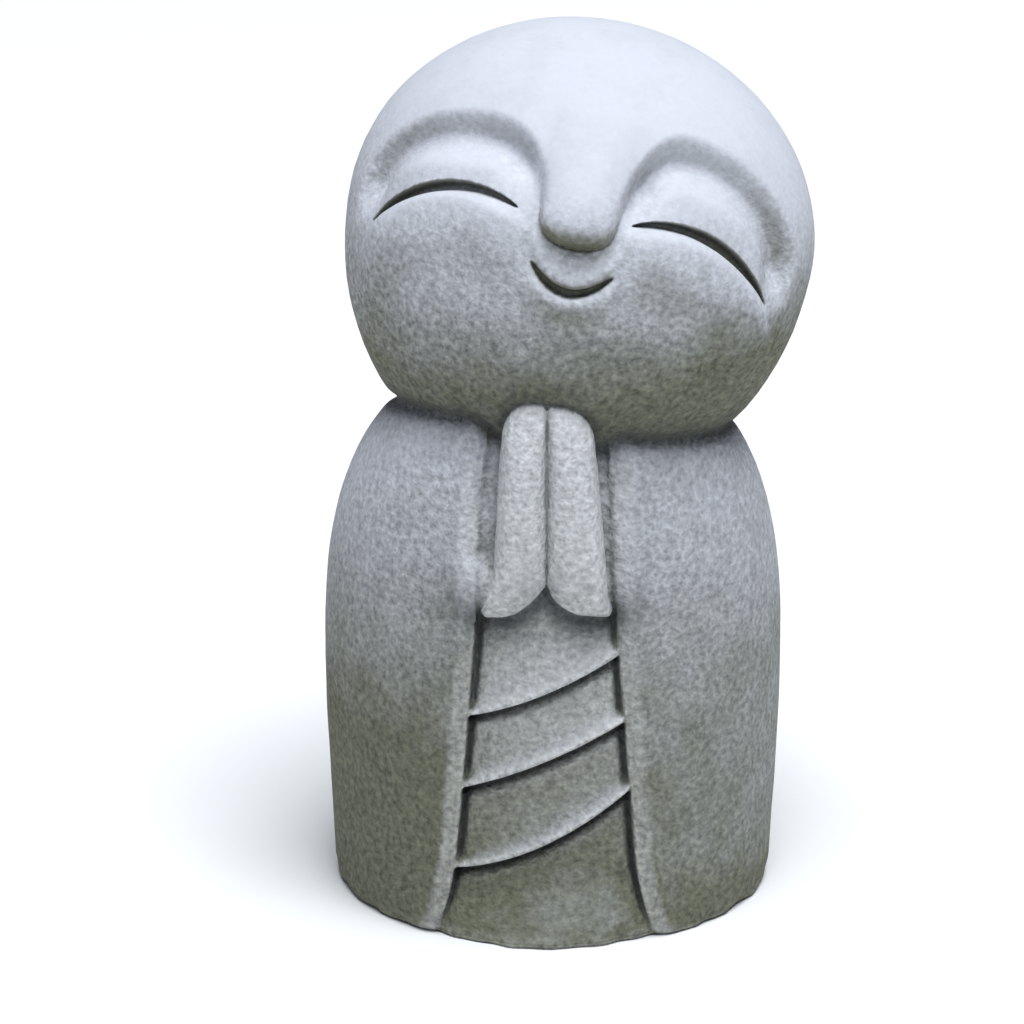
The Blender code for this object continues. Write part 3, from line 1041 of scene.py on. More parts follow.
@dataclass
class Hand:
    """One praying hand: a long pad with a rounded heel, flat where it meets the other hand."""

    side: Side
    wrist_reach: float
    palm_reach: float
    tip_reach: float
    wrist_span: float
    middle: float = -0.7
    overlap: float = 0.24
    bottom_up: float = 32.1
    top_up: float = 54.5
    outer_top: Corner = Corner(4.4, 4.6)
    inner_top: Corner = Corner(0.8, 0.9)
    outer_bottom: Corner = Corner(0.9, 0.9)
    inner_bottom: Corner = Corner(3.7, 4.1)
    section_power: float = 2.9
    front_bottom: float = -21.3
    front_top: float = -20.7
    back: float = -11.0
    cells: tuple[int, int, int] = (13, 15, 44)

    def rounded(self, outward: Array, rise: Array) -> tuple[Array, Array]:
        """Press the corners of a square, -1 to 1 each way, to the hand's roundings.

        Args:
            outward: Places away from the other hand.
            rise: Places up.

        Returns:
            The places on the rounded outline.
        """
        half_height = 0.5 * (self.top_up - self.bottom_up)
        half_width = 0.5 * self.palm_reach
        corners = {
            (1, 1): self.outer_top,
            (-1, 1): self.inner_top,
            (1, -1): self.outer_bottom,
            (-1, -1): self.inner_bottom,
        }
        new_outward = outward.copy()
        new_rise = rise.copy()
        for (to_side, to_top), corner in corners.items():
            wide = corner.across / half_width
            tall = corner.up / half_height
            a = (outward * to_side - 1.0 + wide) / wide
            b = (rise * to_top - 1.0 + tall) / tall
            inside = (a > 0.0) & (b > 0.0)
            round_a = a * np.sqrt(np.clip(1.0 - 0.5 * b * b, 0.0, 1.0))
            round_b = b * np.sqrt(np.clip(1.0 - 0.5 * a * a, 0.0, 1.0))
            new_outward = np.where(inside, to_side * (1.0 - wide + wide * round_a), new_outward)
            new_rise = np.where(inside, to_top * (1.0 - tall + tall * round_b), new_rise)
        return new_outward, new_rise

    def reach(self, share: Array) -> Array:
        """Width of the hand at a share of its height: flared at the wrist, tapering to the tips."""
        palm = mix(self.palm_reach, self.tip_reach, share)
        return mix(self.wrist_reach, palm, ramp(0.0, self.wrist_span, share))

    def build(self) -> bpy.types.Object:
        """Shape the hand from a block with even cells.

        Returns:
            The hand.
        """
        bm = bmesh.new()
        bmesh.ops.create_cube(bm, size=2.0)
        for axis, count in enumerate(self.cells):
            edges = [edge for edge in bm.edges if abs((edge.verts[0].co - edge.verts[1].co)[axis]) > 0.5]
            bmesh.ops.subdivide_edges(bm, edges=edges, cuts=count, use_grid_fill=True)
        block = read_points(bm)
        spread = np.maximum(np.maximum(np.abs(block[:, 0]), np.abs(block[:, 2])), TINY)
        power = self.section_power
        size = (spread**power + np.abs(block[:, 1]) ** power) ** (1.0 / power)
        outward, rise = self.rounded(block[:, 0] / spread, block[:, 2] / spread)
        outward = outward * spread / size
        rise = rise * spread / size
        share = 0.5 * (rise + 1.0)
        across = 0.5 * self.reach(share) * (1.0 + outward) - self.overlap
        front = mix(self.front_bottom, self.front_top, share)
        depth = mix(front, self.back, 0.5 * (1.0 + block[:, 1] / size))
        up = mix(self.bottom_up, self.top_up, share)
        write_points(bm, np.stack([self.middle + self.side.value * across, depth, up], axis=1))
        part = Part.LEFT_HAND if self.side is Side.LEFT else Part.RIGHT_HAND
        return make_object(part.name.lower(), bm, part)


class NodeDesk:
    """Adds nodes to one node tree, each with its inputs linked or set."""

    def __init__(self, tree: bpy.types.NodeTree) -> None:
        """Start on a node tree."""
        self.tree = tree

    def add(self, kind: str, **settings: object) -> bpy.types.Node:
        """Add a node and set its properties.

        Args:
            kind: Type of the node.
            settings: Its properties, by name.

        Returns:
            The node.
        """
        node = self.tree.nodes.new(kind)
        for name, value in settings.items():
            setattr(node, name, value)
        return node

    def link(self, source: Socket, target: Socket) -> None:
        """Join two sockets."""
        self.tree.links.new(source, target)

    def feed(self, target: Socket, value: object) -> None:
        """Link a socket, or set a number or colour, on an input.

        Args:
            target: The input.
            value: What it gets.
        """
        if isinstance(value, Socket):
            self.link(value, target)
        elif isinstance(value, tuple):
            target.default_value = (*value, 1.0)
        else:
            target.default_value = value

    def fill(self, node: bpy.types.Node, values: dict[str, object]) -> None:
        """Link or set a node's inputs by name."""
        for name, value in values.items():
            self.feed(node.inputs[name], value)

    def math(self, operation: str, *values: object, clamp: bool = False) -> Socket:
        """Work out a number from others.

        Args:
            operation: Name of the operation.
            values: Its operands, as outputs or numbers.
            clamp: Whether the result is held between 0 and 1.

        Returns:
            The result.
        """
        node = self.add("ShaderNodeMath", operation=operation, use_clamp=clamp)
        for socket, value in zip(node.inputs, values):
            self.feed(socket, value)
        return node.outputs[0]

    def attribute(self, mask: Mask) -> Socket:
        """Read one of the mesh's masks."""
        return self.add("ShaderNodeAttribute", attribute_name=mask.value).outputs["Fac"]

    def noise(self, place: Socket, size: float, detail: float, roughness: float) -> Socket:
        """Make a noise.

        Args:
            place: Where it is read.
            size: Size of its grains.
            detail: How many finer layers it has.
            roughness: How strong the finer layers are.

        Returns:
            The noise, from 0 to 1.
        """
        node = self.add("ShaderNodeTexNoise")
        self.fill(node, {"Vector": place, "Scale": 1.0 / size, "Detail": detail, "Roughness": roughness})
        return node.outputs["Fac"]

    def curve(self, value: Socket, points: Curve) -> Socket:
        """Look a value up on a broken line.

        Args:
            value: What is looked up.
            points: The line's points, as (value, result).

        Returns:
            The result, level beyond the line's ends.
        """
        result: object = points[0][1]
        for (start, low), (end, high) in zip(points, points[1:]):
            step = self.add("ShaderNodeMapRange", clamp=True)
            self.fill(step, {"Value": value, "From Min": start, "From Max": end})
            self.fill(step, {"To Min": 0.0, "To Max": high - low})
            result = self.math("ADD", step.outputs["Result"], result)
        return result

    def blend(self, share: object, start: object, end: object) -> Socket:
        """Mix two colours.

        Args:
            share: Share of the second colour.
            start: The first colour.
            end: The second colour.

        Returns:
            The mixed colour.
        """
        node = self.add("ShaderNodeMix", data_type="RGBA", blend_type="MIX")
        for socket, value in zip(MIX_INPUTS, (share, start, end)):
            self.feed(node.inputs[socket], value)
        return node.outputs[MIX_OUTPUT]

    def scaled(self, vector: Socket, size: object) -> Socket:
        """Multiply a place or a colour by a number.

        Args:
            vector: The place or the colour.
            size: The number.

        Returns:
            The product.
        """
        node = self.add("ShaderNodeVectorMath", operation="SCALE")
        self.link(vector, node.inputs[0])
        self.feed(node.inputs["Scale"], size)
        return node.outputs[0]


@dataclass(frozen=True)
class StoneInputs:
    """Node outputs that the stone's look is worked out from.

    They are the place across and up, the level on the leaning head, the noises of the grain, of the
    finest grain and of wide patches, and the share of the grain that shows.
    """

    across: Socket
    height: Socket
    head_level: Socket
    grain: Socket
    fine: Socket
    mottle: Socket
    grain_share: Socket


@dataclass(frozen=True)
class StoneFinish:
    """Matte grey cast stone: fine grain, pale where rubbed or worn, with painted shade in its colour, dark
    and olive where the surface sees little sky, on the lower face and low on the left side. Creases and
    joints darken with dirt and painted shade, and the stone is darker towards the bottom.

    Colours are linear, and lengths are millimetres of the figure. Each curve is a broken line of
    (value, result) points.
    """

    # Colour of stone open to the sky, before painted shade and stain darken it.
    open_lit: Color = (0.60, 0.62, 0.675)
    # Middle and darkest steps of the stain, of the darkening towards the bottom and of the painted shade.
    middling: Color = (0.400, 0.412, 0.430)
    dark_stain_and_shade: Color = (0.156, 0.162, 0.114)
    # Dark olive painted shade where the surface sees little sky.
    painted_shade_olive: Color = (0.090, 0.092, 0.062)
    # Near-black for dirt and painted shade in creases, slits and along the joints.
    dirt_and_shade: Color = (0.038, 0.043, 0.046)
    pale: Color = (0.605, 0.615, 0.615)
    pale_share: float = 0.75
    roughness: float = 0.88
    roughness_spread: float = 0.10
    specular: float = 0.25
    grain_noise: NoiseKind = (0.58, 1.5, 0.5)
    fine_noise: NoiseKind = (0.24, 1.0, 0.5)
    mottle_noise: NoiseKind = (4.5, 3.0, 0.6)
    grain_relief: float = 0.36
    fine_relief: float = 0.25
    relief_middle: float = 0.62
    grain_by_sky: Curve = ((0.45, 1.0), (0.60, 0.62), (0.80, 0.25), (0.95, 0.14))
    grain_by_level: Curve = ((59.0, 1.0), (76.0, 0.30))
    rubbed_grain: float = -0.20
    speckle: Curve = ((0.28, -0.38), (0.46, -0.07), (0.56, 0.07), (0.72, 0.40))
    dust: Curve = ((0.25, -0.12), (0.75, 0.12))
    uneven: Curve = ((0.35, -0.06), (0.65, 0.06))
    # Darker towards the bottom.
    darkening_by_height: Curve = (
        (0.0, 0.78),
        (7.0, 0.56),
        (12.0, 0.48),
        (24.0, 0.39),
        (35.0, 0.22),
        (47.0, 0.0),
    )
    # Painted shade on the chin and lower cheeks, tilted with the head's lean.
    lower_face_shade_by_level: Curve = ((50.0, 0.0), (54.0, 0.05), (59.0, 0.10), (64.0, 0.05), (70.0, 0.0))
    # Painted shade where the surface sees little sky, kept lighter high on the head.
    shade_by_sky: Curve = (
        (0.20, 1.0),
        (0.31, 1.0),
        (0.40, 0.79),
        (0.50, 0.42),
        (0.57, 0.22),
        (0.66, 0.13),
        (0.78, 0.06),
        (0.90, 0.0),
    )
    sky_shade_by_level: Curve = ((69.0, 1.0), (77.0, 0.36))
    cheek_lean: float = 0.35
    head_lean: float = 0.2
    # Painted shade on the left side, low down, fading out upwards.
    left_shade_slope: float = -0.015
    left_shade_top: float = 25.0
    # Dark olive painted shade where the surface sees least sky, in uneven patches.
    olive_shade_by_sky: Curve = ((0.12, 1.0), (0.26, 0.0))
    olive_shade_uneven: float = -0.5
    # Dirt and painted shade where the surface is closed in, in creases and grooves.
    dirt_and_shade_by_crease: Curve = ((0.10, 0.0), (0.22, 0.12), (0.50, 0.80))
    # Dirt and painted shade along the joints, the shade under the chin, the heels and the fingertips.
    dirt_and_shade_by_joint: Curve = ((0.04, 0.0), (0.85, 0.80))

    def material(self, unit: float) -> bpy.types.Material:
        """Build the finish.

        Args:
            unit: Metres in one of the figure's millimetres.

        Returns:
            The material.
        """
        material = bpy.data.materials.new("cast_stone")
        material.use_nodes = True
        nodes = NodeDesk(material.node_tree)
        stone = self.inputs(nodes, unit)
        least_rough = self.roughness - 0.5 * self.roughness_spread
        relief = nodes.math("MULTIPLY_ADD", stone.fine, self.fine_relief, stone.grain)
        relief = nodes.math("SUBTRACT", relief, self.relief_middle)
        relief = nodes.math("MULTIPLY", relief, stone.grain_share)
        bump = nodes.add("ShaderNodeBump")
        nodes.fill(bump, {"Strength": 1.0, "Distance": self.grain_relief * unit, "Height": relief})
        surface = {
            "Metallic": 0.0,
            "Specular IOR Level": self.specular,
            "Base Color": self.color(nodes, stone),
            "Roughness": nodes.math("MULTIPLY_ADD", stone.grain, self.roughness_spread, least_rough),
            "Normal": bump.outputs["Normal"],
        }
        nodes.fill(material.node_tree.nodes["Principled BSDF"], surface)
        return material

    def inputs(self, nodes: NodeDesk, unit: float) -> StoneInputs:
        """Read the places, the noises and how much the grain shows.

        Args:
            nodes: The material's nodes.
            unit: Metres in one of the figure's millimetres.

        Returns:
            The node outputs.
        """
        place = nodes.scaled(nodes.add("ShaderNodeTexCoord").outputs["Object"], 1.0 / unit)
        parts = nodes.add("ShaderNodeSeparateXYZ")
        nodes.link(place, parts.inputs[0])
        across = parts.outputs["X"]
        height = parts.outputs["Z"]
        level = nodes.math("MULTIPLY_ADD", across, self.head_lean, height)
        kinds = (self.grain_noise, self.fine_noise, self.mottle_noise)
        noises = [nodes.noise(place, *kind) for kind in kinds]
        rain = nodes.curve(nodes.attribute(Mask.SKY), self.grain_by_sky)
        rubbed = nodes.math("MULTIPLY_ADD", nodes.attribute(Mask.PALE), self.rubbed_grain, 1.0)
        share = nodes.math("MULTIPLY", rain, rubbed)
        share = nodes.math("MULTIPLY", share, nodes.curve(level, self.grain_by_level))
        return StoneInputs(across, height, level, *noises, share)

    def stain_and_shade(self, nodes: NodeDesk, stone: StoneInputs, uneven: Socket) -> Socket:
        """How stained and painted with shade the stone is, from 0 to 1: wide random patches, darker towards
        the bottom, and painted shade where it sees little sky, on the lower face and low on the left side.

        Args:
            nodes: The material's nodes.
            stone: What the look is worked out from.
            uneven: Stain that wide patches add.

        Returns:
            The stain and painted shade.
        """
        sky = nodes.attribute(Mask.SKY)
        # Wide random patches, and darker towards the bottom.
        stain_and_shade = nodes.math("ADD", nodes.curve(stone.height, self.darkening_by_height), uneven)
        # Painted shade where the surface sees little sky, less of it high on the head.
        sky_shade_kept = nodes.curve(stone.head_level, self.sky_shade_by_level)
        stain_and_shade = nodes.math("MULTIPLY_ADD", nodes.curve(sky, self.shade_by_sky), sky_shade_kept, stain_and_shade)
        # Painted shade on the chin and lower cheeks.
        level = nodes.math("MULTIPLY_ADD", stone.across, self.cheek_lean, stone.height)
        stain_and_shade = nodes.math("ADD", stain_and_shade, nodes.curve(level, self.lower_face_shade_by_level))
        # Painted shade on the left side, low down.
        left_shade = nodes.curve(stone.height, ((0.0, self.left_shade_slope), (self.left_shade_top, 0.0)))
        return nodes.math("MULTIPLY_ADD", stone.across, left_shade, stain_and_shade, clamp=True)

    def color(self, nodes: NodeDesk, stone: StoneInputs) -> Socket:
        """Work out the stone's colour.

        Args:
            nodes: The material's nodes.
            stone: What the look is worked out from.

        Returns:
            The colour.
        """
        uneven = nodes.curve(stone.mottle, self.uneven)
        stain_and_shade = self.stain_and_shade(nodes, stone, uneven)
        # Coats over the open colour: stain and painted shade, dark olive painted shade where little sky is
        # seen, then rubbed and worn pale.
        sky = nodes.math("MULTIPLY_ADD", uneven, self.olive_shade_uneven, nodes.attribute(Mask.SKY))
        coats = [
            (nodes.curve(stain_and_shade, ((0.0, 0.0), (0.5, 1.0))), self.middling),
            (nodes.curve(stain_and_shade, ((0.5, 0.0), (1.0, 1.0))), self.dark_stain_and_shade),
            (nodes.curve(sky, self.olive_shade_by_sky), self.painted_shade_olive),
        ]
        for mask in (Mask.PALE, Mask.WEAR):
            coats.append((nodes.math("MULTIPLY", nodes.attribute(mask), self.pale_share), self.pale))
        color: object = self.open_lit
        for share, coat in coats:
            color = nodes.blend(share, color, coat)
        specks = nodes.math("ADD", nodes.curve(stone.grain, self.speckle), nodes.curve(stone.fine, self.dust))
        color = nodes.scaled(color, nodes.math("MULTIPLY_ADD", specks, stone.grain_share, 1.0))
        # Dirt and painted shade in creases and along the joints.
        crease = nodes.curve(nodes.attribute(Mask.CREASE), self.dirt_and_shade_by_crease)
        joint = nodes.curve(nodes.attribute(Mask.JOINT), self.dirt_and_shade_by_joint)
        return nodes.blend(nodes.math("MAXIMUM", crease, joint), color, self.dirt_and_shade)


@dataclass(frozen=True)
class Joint:
    """How one kind of joint between the parts looks.

    Its line is sunk to a depth over a width, and dirt with painted shade darkens along it over a reach.
    """

    sink: float
    width: float
    dirt_and_shade: float
    reach: float


@dataclass
class Figure:
    """The whole casting: robe, head and hands joined into one stone body."""

    unit: float
    robe: Robe = field(default_factory=Robe)
    head: Head = field(default_factory=Head)
    finish: StoneFinish = field(default_factory=StoneFinish)
    # The neck, heel and tip joints darken with dirt and painted shade: shade under the chin, under the heels
    # and round the fingertips.
    neck: Joint = Joint(0.42, 0.80, 0.80, 2.3)
    heel: Joint = Joint(0.30, 0.40, 1.5, 1.5)
    fingers: Joint = Joint(0.15, 0.35, 0.20, 0.6)
    tips: Joint = Joint(0.12, 0.35, 0.75, 1.3)
    dirt_and_shade_on_hands: float = 0.35
    heel_top: float = 36.0
    heel_inset: float = 2.4
    heel_side_top: float = 32.9
    sliver: float = 0.03
    joint_cell: float = 0.42
    joint_band: float = 1.9
    joint_levels: int = 8
    smooth_band: float = 0.6
    wave_height: float = 0.07
    wave_length: float = 6.0
    ripple_share: float = 0.35
    ripple_length: float = 1.9
    wave_start: float = 2.0
    foot_band: float = 1.8
    foot_inner: float = 0.85
    chip_length: float = 2.6
    chip_bias: float = 0.35
    break_length: float = 1.7
    break_layer: float = 5.0
    break_inner: float = 0.9
    ray_start: float = 0.03
    crease_reach: float = 3.2
    crease_rays: int = 24
    hand_groove_crease: float = 0.15
    face_crease: float = 0.88
    face_wear: float = 0.30
    hand_groove_from: float = 33.2
    hand_groove: Span = (-2.2, -1.0)
    groove_top: Span = (-4.0, -1.0)
    heel_shade_up: float = 2.0
    heel_shade_inset: float = 2.5
    sky_rays: int = 40
    sky_reach: float = 60.0
    groove_sky: float = 0.51
    groove_rim_sky: float = 0.58
    groove_rim: Span = (-0.3, 0.3)
    groove_share: float = 0.8
    wear_bend: Span = (0.25, 1.4)
    least_square: float = 1e-4
    wear_passes: int = 3
    pale_rim: float = 0.50
    pale_rim_start: Span = (-1.9, -1.1)
    pale_rim_end: Span = (-0.15, 0.05)
    pale_rim_top: float = 14.0
    pale_inner: float = 0.8
    pale_inner_from: float = 4.0
    pale_inner_top: float = 4.0

    def join(self) -> BMesh:
        """Unite the robe, the head and the hands.

        Returns:
            The closed body, with its faces marked by part.
        """
        body = self.robe.build(self.head.near)
        hands = [
            Hand(Side.LEFT, wrist_reach=6.6, palm_reach=5.45, tip_reach=4.0, wrist_span=0.28),
            Hand(Side.RIGHT, wrist_reach=6.6, palm_reach=6.2, tip_reach=4.2, wrist_span=0.12),
        ]
        others = [self.head.build(self.robe)] + [hand.build() for hand in hands]
        for obj in [body, *others]:
            LOG.info("%s: %d faces", obj.name, len(obj.data.polygons))
        for other in others:
            union = body.modifiers.new(other.name, "BOOLEAN")
            union.operation = "UNION"
            union.solver = "EXACT"
            union.object = other
        evaluated = body.evaluated_get(bpy.context.evaluated_depsgraph_get())
        mesh = bpy.data.meshes.new_from_object(evaluated)
        bm = bmesh.new()
        bm.from_mesh(mesh)
        bpy.data.meshes.remove(mesh)
        for obj in [body, *others]:
            bpy.data.objects.remove(obj, do_unlink=True)
        bmesh.ops.triangulate(bm, faces=bm.faces)
        bmesh.ops.dissolve_degenerate(bm, dist=self.sliver, edges=bm.edges)
        bmesh.ops.triangulate(bm, faces=bm.faces)
        return bm

    def joint_edges(self, bm: BMesh) -> list[BMEdge]:
        """Edges along which two parts meet."""
        mark = bm.faces.layers.int[PART_LAYER]
        return [edge for edge in bm.edges if len({face[mark] for face in edge.link_faces}) > 1]

    def joint_at(self, edge: BMEdge, mark: bmesh.types.BMLayerItem) -> Joint | None:
        """Tell which kind of joint an edge lies on.

        Args:
            edge: Edge between two parts.
            mark: Face layer that tells the parts.

        Returns:
            The joint, or none where the two hands meet.
        """
        parts = {face[mark] for face in edge.link_faces}
        if parts == {Part.LEFT_HAND.value, Part.RIGHT_HAND.value}:
            return None
        if parts == {Part.ROBE.value, Part.HEAD.value}:
            return self.neck
        if Part.HEAD.value in parts:
            return self.tips
        place = edge.verts[0].co
        inside = self.robe.opening.inside(place.x, place.z)
        top = self.heel_top if inside > self.heel_inset else self.heel_side_top
        return self.heel if place.z < top else self.fingers

    def refine_joints(self, bm: BMesh) -> None:
        """Make the mesh finer along the joints, and even out its cells there.

        Each pass halves the longest edges, at most one to a face, so that every face splits in two.

        Args:
            bm: The joined body.
        """
        for _ in range(self.joint_levels):
            distance = self.distances(bm, [edge.verts for edge in self.joint_edges(bm)])
            chosen = []
            used = set()
            for edge in sorted(bm.edges, key=lambda edge: -edge.calc_length()):
                if edge.calc_length() < self.joint_cell:
                    break
                near = max(distance[vert.index] for vert in edge.verts) < self.joint_band
                if near and not used.intersection(edge.link_faces):
                    chosen.append(edge)
                    used.update(edge.link_faces)
            bmesh.ops.subdivide_edges(bm, edges=chosen, cuts=1, use_single_edge=True)
            bmesh.ops.triangulate(bm, faces=bm.faces)
        self.even_joint_line(bm)
        lines = self.joint_edges(bm)
        distance = self.distances(bm, [edge.verts for edge in lines])
        on_line = {vert for edge in lines for vert in edge.verts}
        band = [vert for vert in bm.verts if distance[vert.index] < self.smooth_band and vert not in on_line]
        smooth(band, bm, 2, 0.5)

    def even_joint_line(self, bm: BMesh) -> None:
        """Smooth the joint lines along themselves.

        Args:
            bm: The joined body.
        """
        links: dict[BMVert, list[BMVert]] = {}
        for edge in self.joint_edges(bm):
            for vert in edge.verts:
                links.setdefault(vert, []).append(edge.other_vert(vert))
        moved = {}
        for vert, ends in links.items():
            if len(ends) == 2:
                moved[vert] = 0.5 * vert.co + 0.25 * (ends[0].co + ends[1].co)
        for vert, place in moved.items():
            vert.co = place

    def distances(self, bm: BMesh, lines: list[tuple[BMVert, ...]]) -> Array:
        """Measure how far the vertices are from some edges' ends and middles.

        Args:
            bm: The joined body.
            lines: The two ends of each edge.

        Returns:
            The distance of each vertex from the nearest.
        """
        bm.verts.index_update()
        tree = KDTree(3 * len(lines))
        for number, (start, end) in enumerate(lines):
            for place in (start.co, end.co, 0.5 * (start.co + end.co)):
                tree.insert(place, number)
        tree.balance()
        return np.array([tree.find(vert.co)[2] for vert in bm.verts])

    def sink_joints(self, bm: BMesh) -> Array:
        """Sink the surface along the joints.

        Args:
            bm: The joined body.

        Returns:
            How much dirt and painted shade the joints give each vertex, from 0 to 1.
        """
        bm.normal_update()
        mark = bm.faces.layers.int[PART_LAYER]
        lines: dict[Joint, list] = {self.neck: [], self.heel: [], self.fingers: [], self.tips: []}
        for edge in self.joint_edges(bm):
            joint = self.joint_at(edge, mark)
            if joint:
                lines[joint].append(edge.verts)
        dirt_and_shade = np.zeros(len(bm.verts))
        sink = np.zeros(len(bm.verts))
        for joint, edges in lines.items():
            distance = self.distances(bm, edges)
            sink = np.maximum(sink, joint.sink * bell(distance, joint.width))
            dirt_and_shade = np.maximum(dirt_and_shade, joint.dirt_and_shade * np.exp(-distance / joint.reach))
        for vert, depth in zip(bm.verts, sink):
            vert.co -= vert.normal * depth
        return dirt_and_shade * mix(1.0, self.dirt_and_shade_on_hands, self.on_parts(bm, HANDS))

    def on_parts(self, bm: BMesh, parts: set[Part]) -> Array:
        """Mark the vertices that belong to some parts alone.

        Args:
            bm: The joined body.
            parts: The parts.

        Returns:
            1 for those vertices, 0 for the others.
        """
        mark = bm.faces.layers.int[PART_LAYER]
        marks = {part.value for part in parts}
        return np.array([float({face[mark] for face in vert.link_faces} <= marks) for vert in bm.verts])

    def weather(self, bm: BMesh) -> None:
        """Give the casting the slight waves of a hand-finished mould, and a ragged foot edge.

        Args:
            bm: The joined body.
        """
        bm.normal_update()
        for vert in bm.verts:
            wave = noise.noise(vert.co / self.wave_length)
            wave += self.ripple_share * noise.noise(vert.co / self.ripple_length)
            vert.co += vert.normal * (self.wave_height * wave * held(vert.co.z / self.wave_start))
            foot = 1.0 - held(vert.co.z / self.foot_band)
            radius = math.hypot(vert.co.x, vert.co.y)
            if foot > 0.0 and radius > self.foot_inner * self.robe.half_width:
                chip = noise.noise(Vector((vert.co.x, vert.co.y, 0.0)) / self.chip_length) - self.chip_bias
                scale = 1.0 + self.robe.foot_wobble * chip * foot / radius
                vert.co.x *= scale
                vert.co.y *= scale
                place = Vector((vert.co.x, vert.co.y, self.break_layer)) / self.break_length
                rim = held(radius - self.break_inner * self.robe.half_width)
                vert.co.z += self.robe.foot_chip * max(noise.noise(place), 0.0) * rim * foot

    def spread_of_rays(self, count: int, low: float) -> list[Vector]:
        """Spread directions evenly over the top of the unit sphere.

        Args:
            count: How many to make.
            low: Height on the unit sphere that they start from.

        Returns:
            The directions.
        """
        directions = []
        for index in range(count):
            up = low + (1.0 - low) * (index + 0.5) / count
            ring = math.sqrt(1.0 - up * up)
            turn = index * math.pi * (3.0 - math.sqrt(5.0))
            directions.append(Vector((ring * math.cos(turn), ring * math.sin(turn), up)))
        return directions

    def crease_mask(self, bm: BMesh, tree: BVHTree) -> Array:
        """Look how closed in the surface is.

        Args:
            bm: The joined body.
            tree: The same body, for casting rays.

        Returns:
            A value for each vertex, from 0 in the open to 1 deep in a groove.
        """
        directions = self.spread_of_rays(self.crease_rays, -1.0)
        values = []
        for vert in bm.verts:
            start = vert.co + vert.normal * self.ray_start
            closed = 0.0
            total = 0.0
            for direction in directions:
                facing = direction.dot(vert.normal)
                ray = direction if facing > 0.0 else -direction
                total += abs(facing)
                distance = tree.ray_cast(start, ray, self.crease_reach)[3]
                if distance is not None:
                    closed += abs(facing) * (1.0 - distance / self.crease_reach)
            values.append(closed / total)
        closed_in = np.array(values) * mix(1.0, self.face_crease, self.on_parts(bm, {Part.HEAD}))
        return closed_in * mix(1.0, self.hand_groove_crease, self.by_hands(bm))

    def inside_opening(self, points: Array) -> Array:
        """How far places are inside the robe's opening, far outside it behind the figure."""
        inside = self.robe.opening.inside(points[:, 0], points[:, 2])
        return np.where(points[:, 1] < 0.0, inside, -self.robe.half_width)

    def by_hands(self, bm: BMesh) -> Array:
        """Mark the grooves beside the hands, where crease dirt and painted shade are kept light.

        Args:
            bm: The joined body.

        Returns:
            1 there, 0 elsewhere.
        """
        points = read_points(bm)
        up = points[:, 2]
        inside = self.inside_opening(points)
        low, high = (self.robe.opening.top_up + offset for offset in self.groove_top)
        reach = 1.0 - ramp(low, high, up) * (1.0 - self.on_parts(bm, HANDS))
        above_heel = up - self.heel_shade_up * (inside > self.heel_shade_inset)
        clear_of_heel = ramp(self.hand_groove_from, self.hand_groove_from + 1.0, above_heel)
        return ramp(*self.hand_groove, inside) * clear_of_heel * reach

    def sky_mask(self, bm: BMesh, tree: BVHTree) -> Array:
        """Look how much open sky the surface sees.

        Args:
            bm: The joined body.
            tree: The same body, for casting rays.

        Returns:
            A value for each vertex, from 0 to 1 for a level place in the open.
        """
        directions = self.spread_of_rays(self.sky_rays, 0.0)
        total = sum(direction.z for direction in directions)
        values = []
        for vert in bm.verts:
            start = vert.co + vert.normal * self.ray_start
            seen = 0.0
            for direction in directions:
                facing = direction.dot(vert.normal)
                if facing > 0.0 and tree.ray_cast(start, direction, self.sky_reach)[3] is None:
                    seen += facing
            values.append(seen / total)
        even = self.blur(np.array(values), self.edge_ends(bm))
        inside = self.inside_opening(read_points(bm))
        # In the grooves beside the hands the mask takes given values, so the painted shade there stays light.
        open_lit = mix(self.groove_rim_sky, self.groove_sky, ramp(*self.groove_rim, inside))
        return mix(even, open_lit, self.groove_share * self.by_hands(bm))

    def wear_mask(self, bm: BMesh) -> Array:
        """Measure how far the surface stands out as an edge.

        Args:
            bm: The joined body.

        Returns:
            A value for each vertex, from 0 on the flat to 1 on a sharp arris.
        """
        points = read_points(bm)
        normals = np.array([vert.normal for vert in bm.verts])
        ends = self.edge_ends(bm)
        step = points[ends[:, 1]] - points[ends[:, 0]]
        square = np.maximum((step**2).sum(axis=1), self.least_square)
        bend = -2.0 * (normals[ends[:, 0]] * step).sum(axis=1) / square
        worn = self.blur(ramp(*self.wear_bend, self.around(bend, ends)), ends)
        return worn * mix(1.0, self.face_wear, self.on_parts(bm, {Part.HEAD}))

    def pale_mask(self, bm: BMesh) -> Array:
        """Mark where the casting is rubbed pale: all of the hands, and the inner robe a little.

        Args:
            bm: The joined body.

        Returns:
            A value for each vertex, from 0 to 1.
        """
        points = read_points(bm)
        up = points[:, 2]
        wrist_up = self.robe.opening.wrist_up
        inside = self.inside_opening(points)
        rim = ramp(*self.pale_rim_start, inside) * fall(*self.pale_rim_end, inside)
        rim = rim * (up < wrist_up + self.pale_rim_top)
        inner = ramp(0.0, 1.0, inside) * ramp(self.pale_inner_from, wrist_up - 1.0, up)
        inner = inner * (up < wrist_up + self.pale_inner_top)
        rubbed = np.maximum(self.pale_inner * inner, self.pale_rim * rim)
        return np.maximum(rubbed, self.on_parts(bm, HANDS))

    def edge_ends(self, bm: BMesh) -> Array:
        """List the vertices at the two ends of every edge, both ways round.

        Args:
            bm: The joined body.

        Returns:
            Their numbers, a row for each edge and way.
        """
        bm.verts.index_update()
        ends = np.array([[vert.index for vert in edge.verts] for edge in bm.edges])
        return np.concatenate([ends, ends[:, ::-1]])

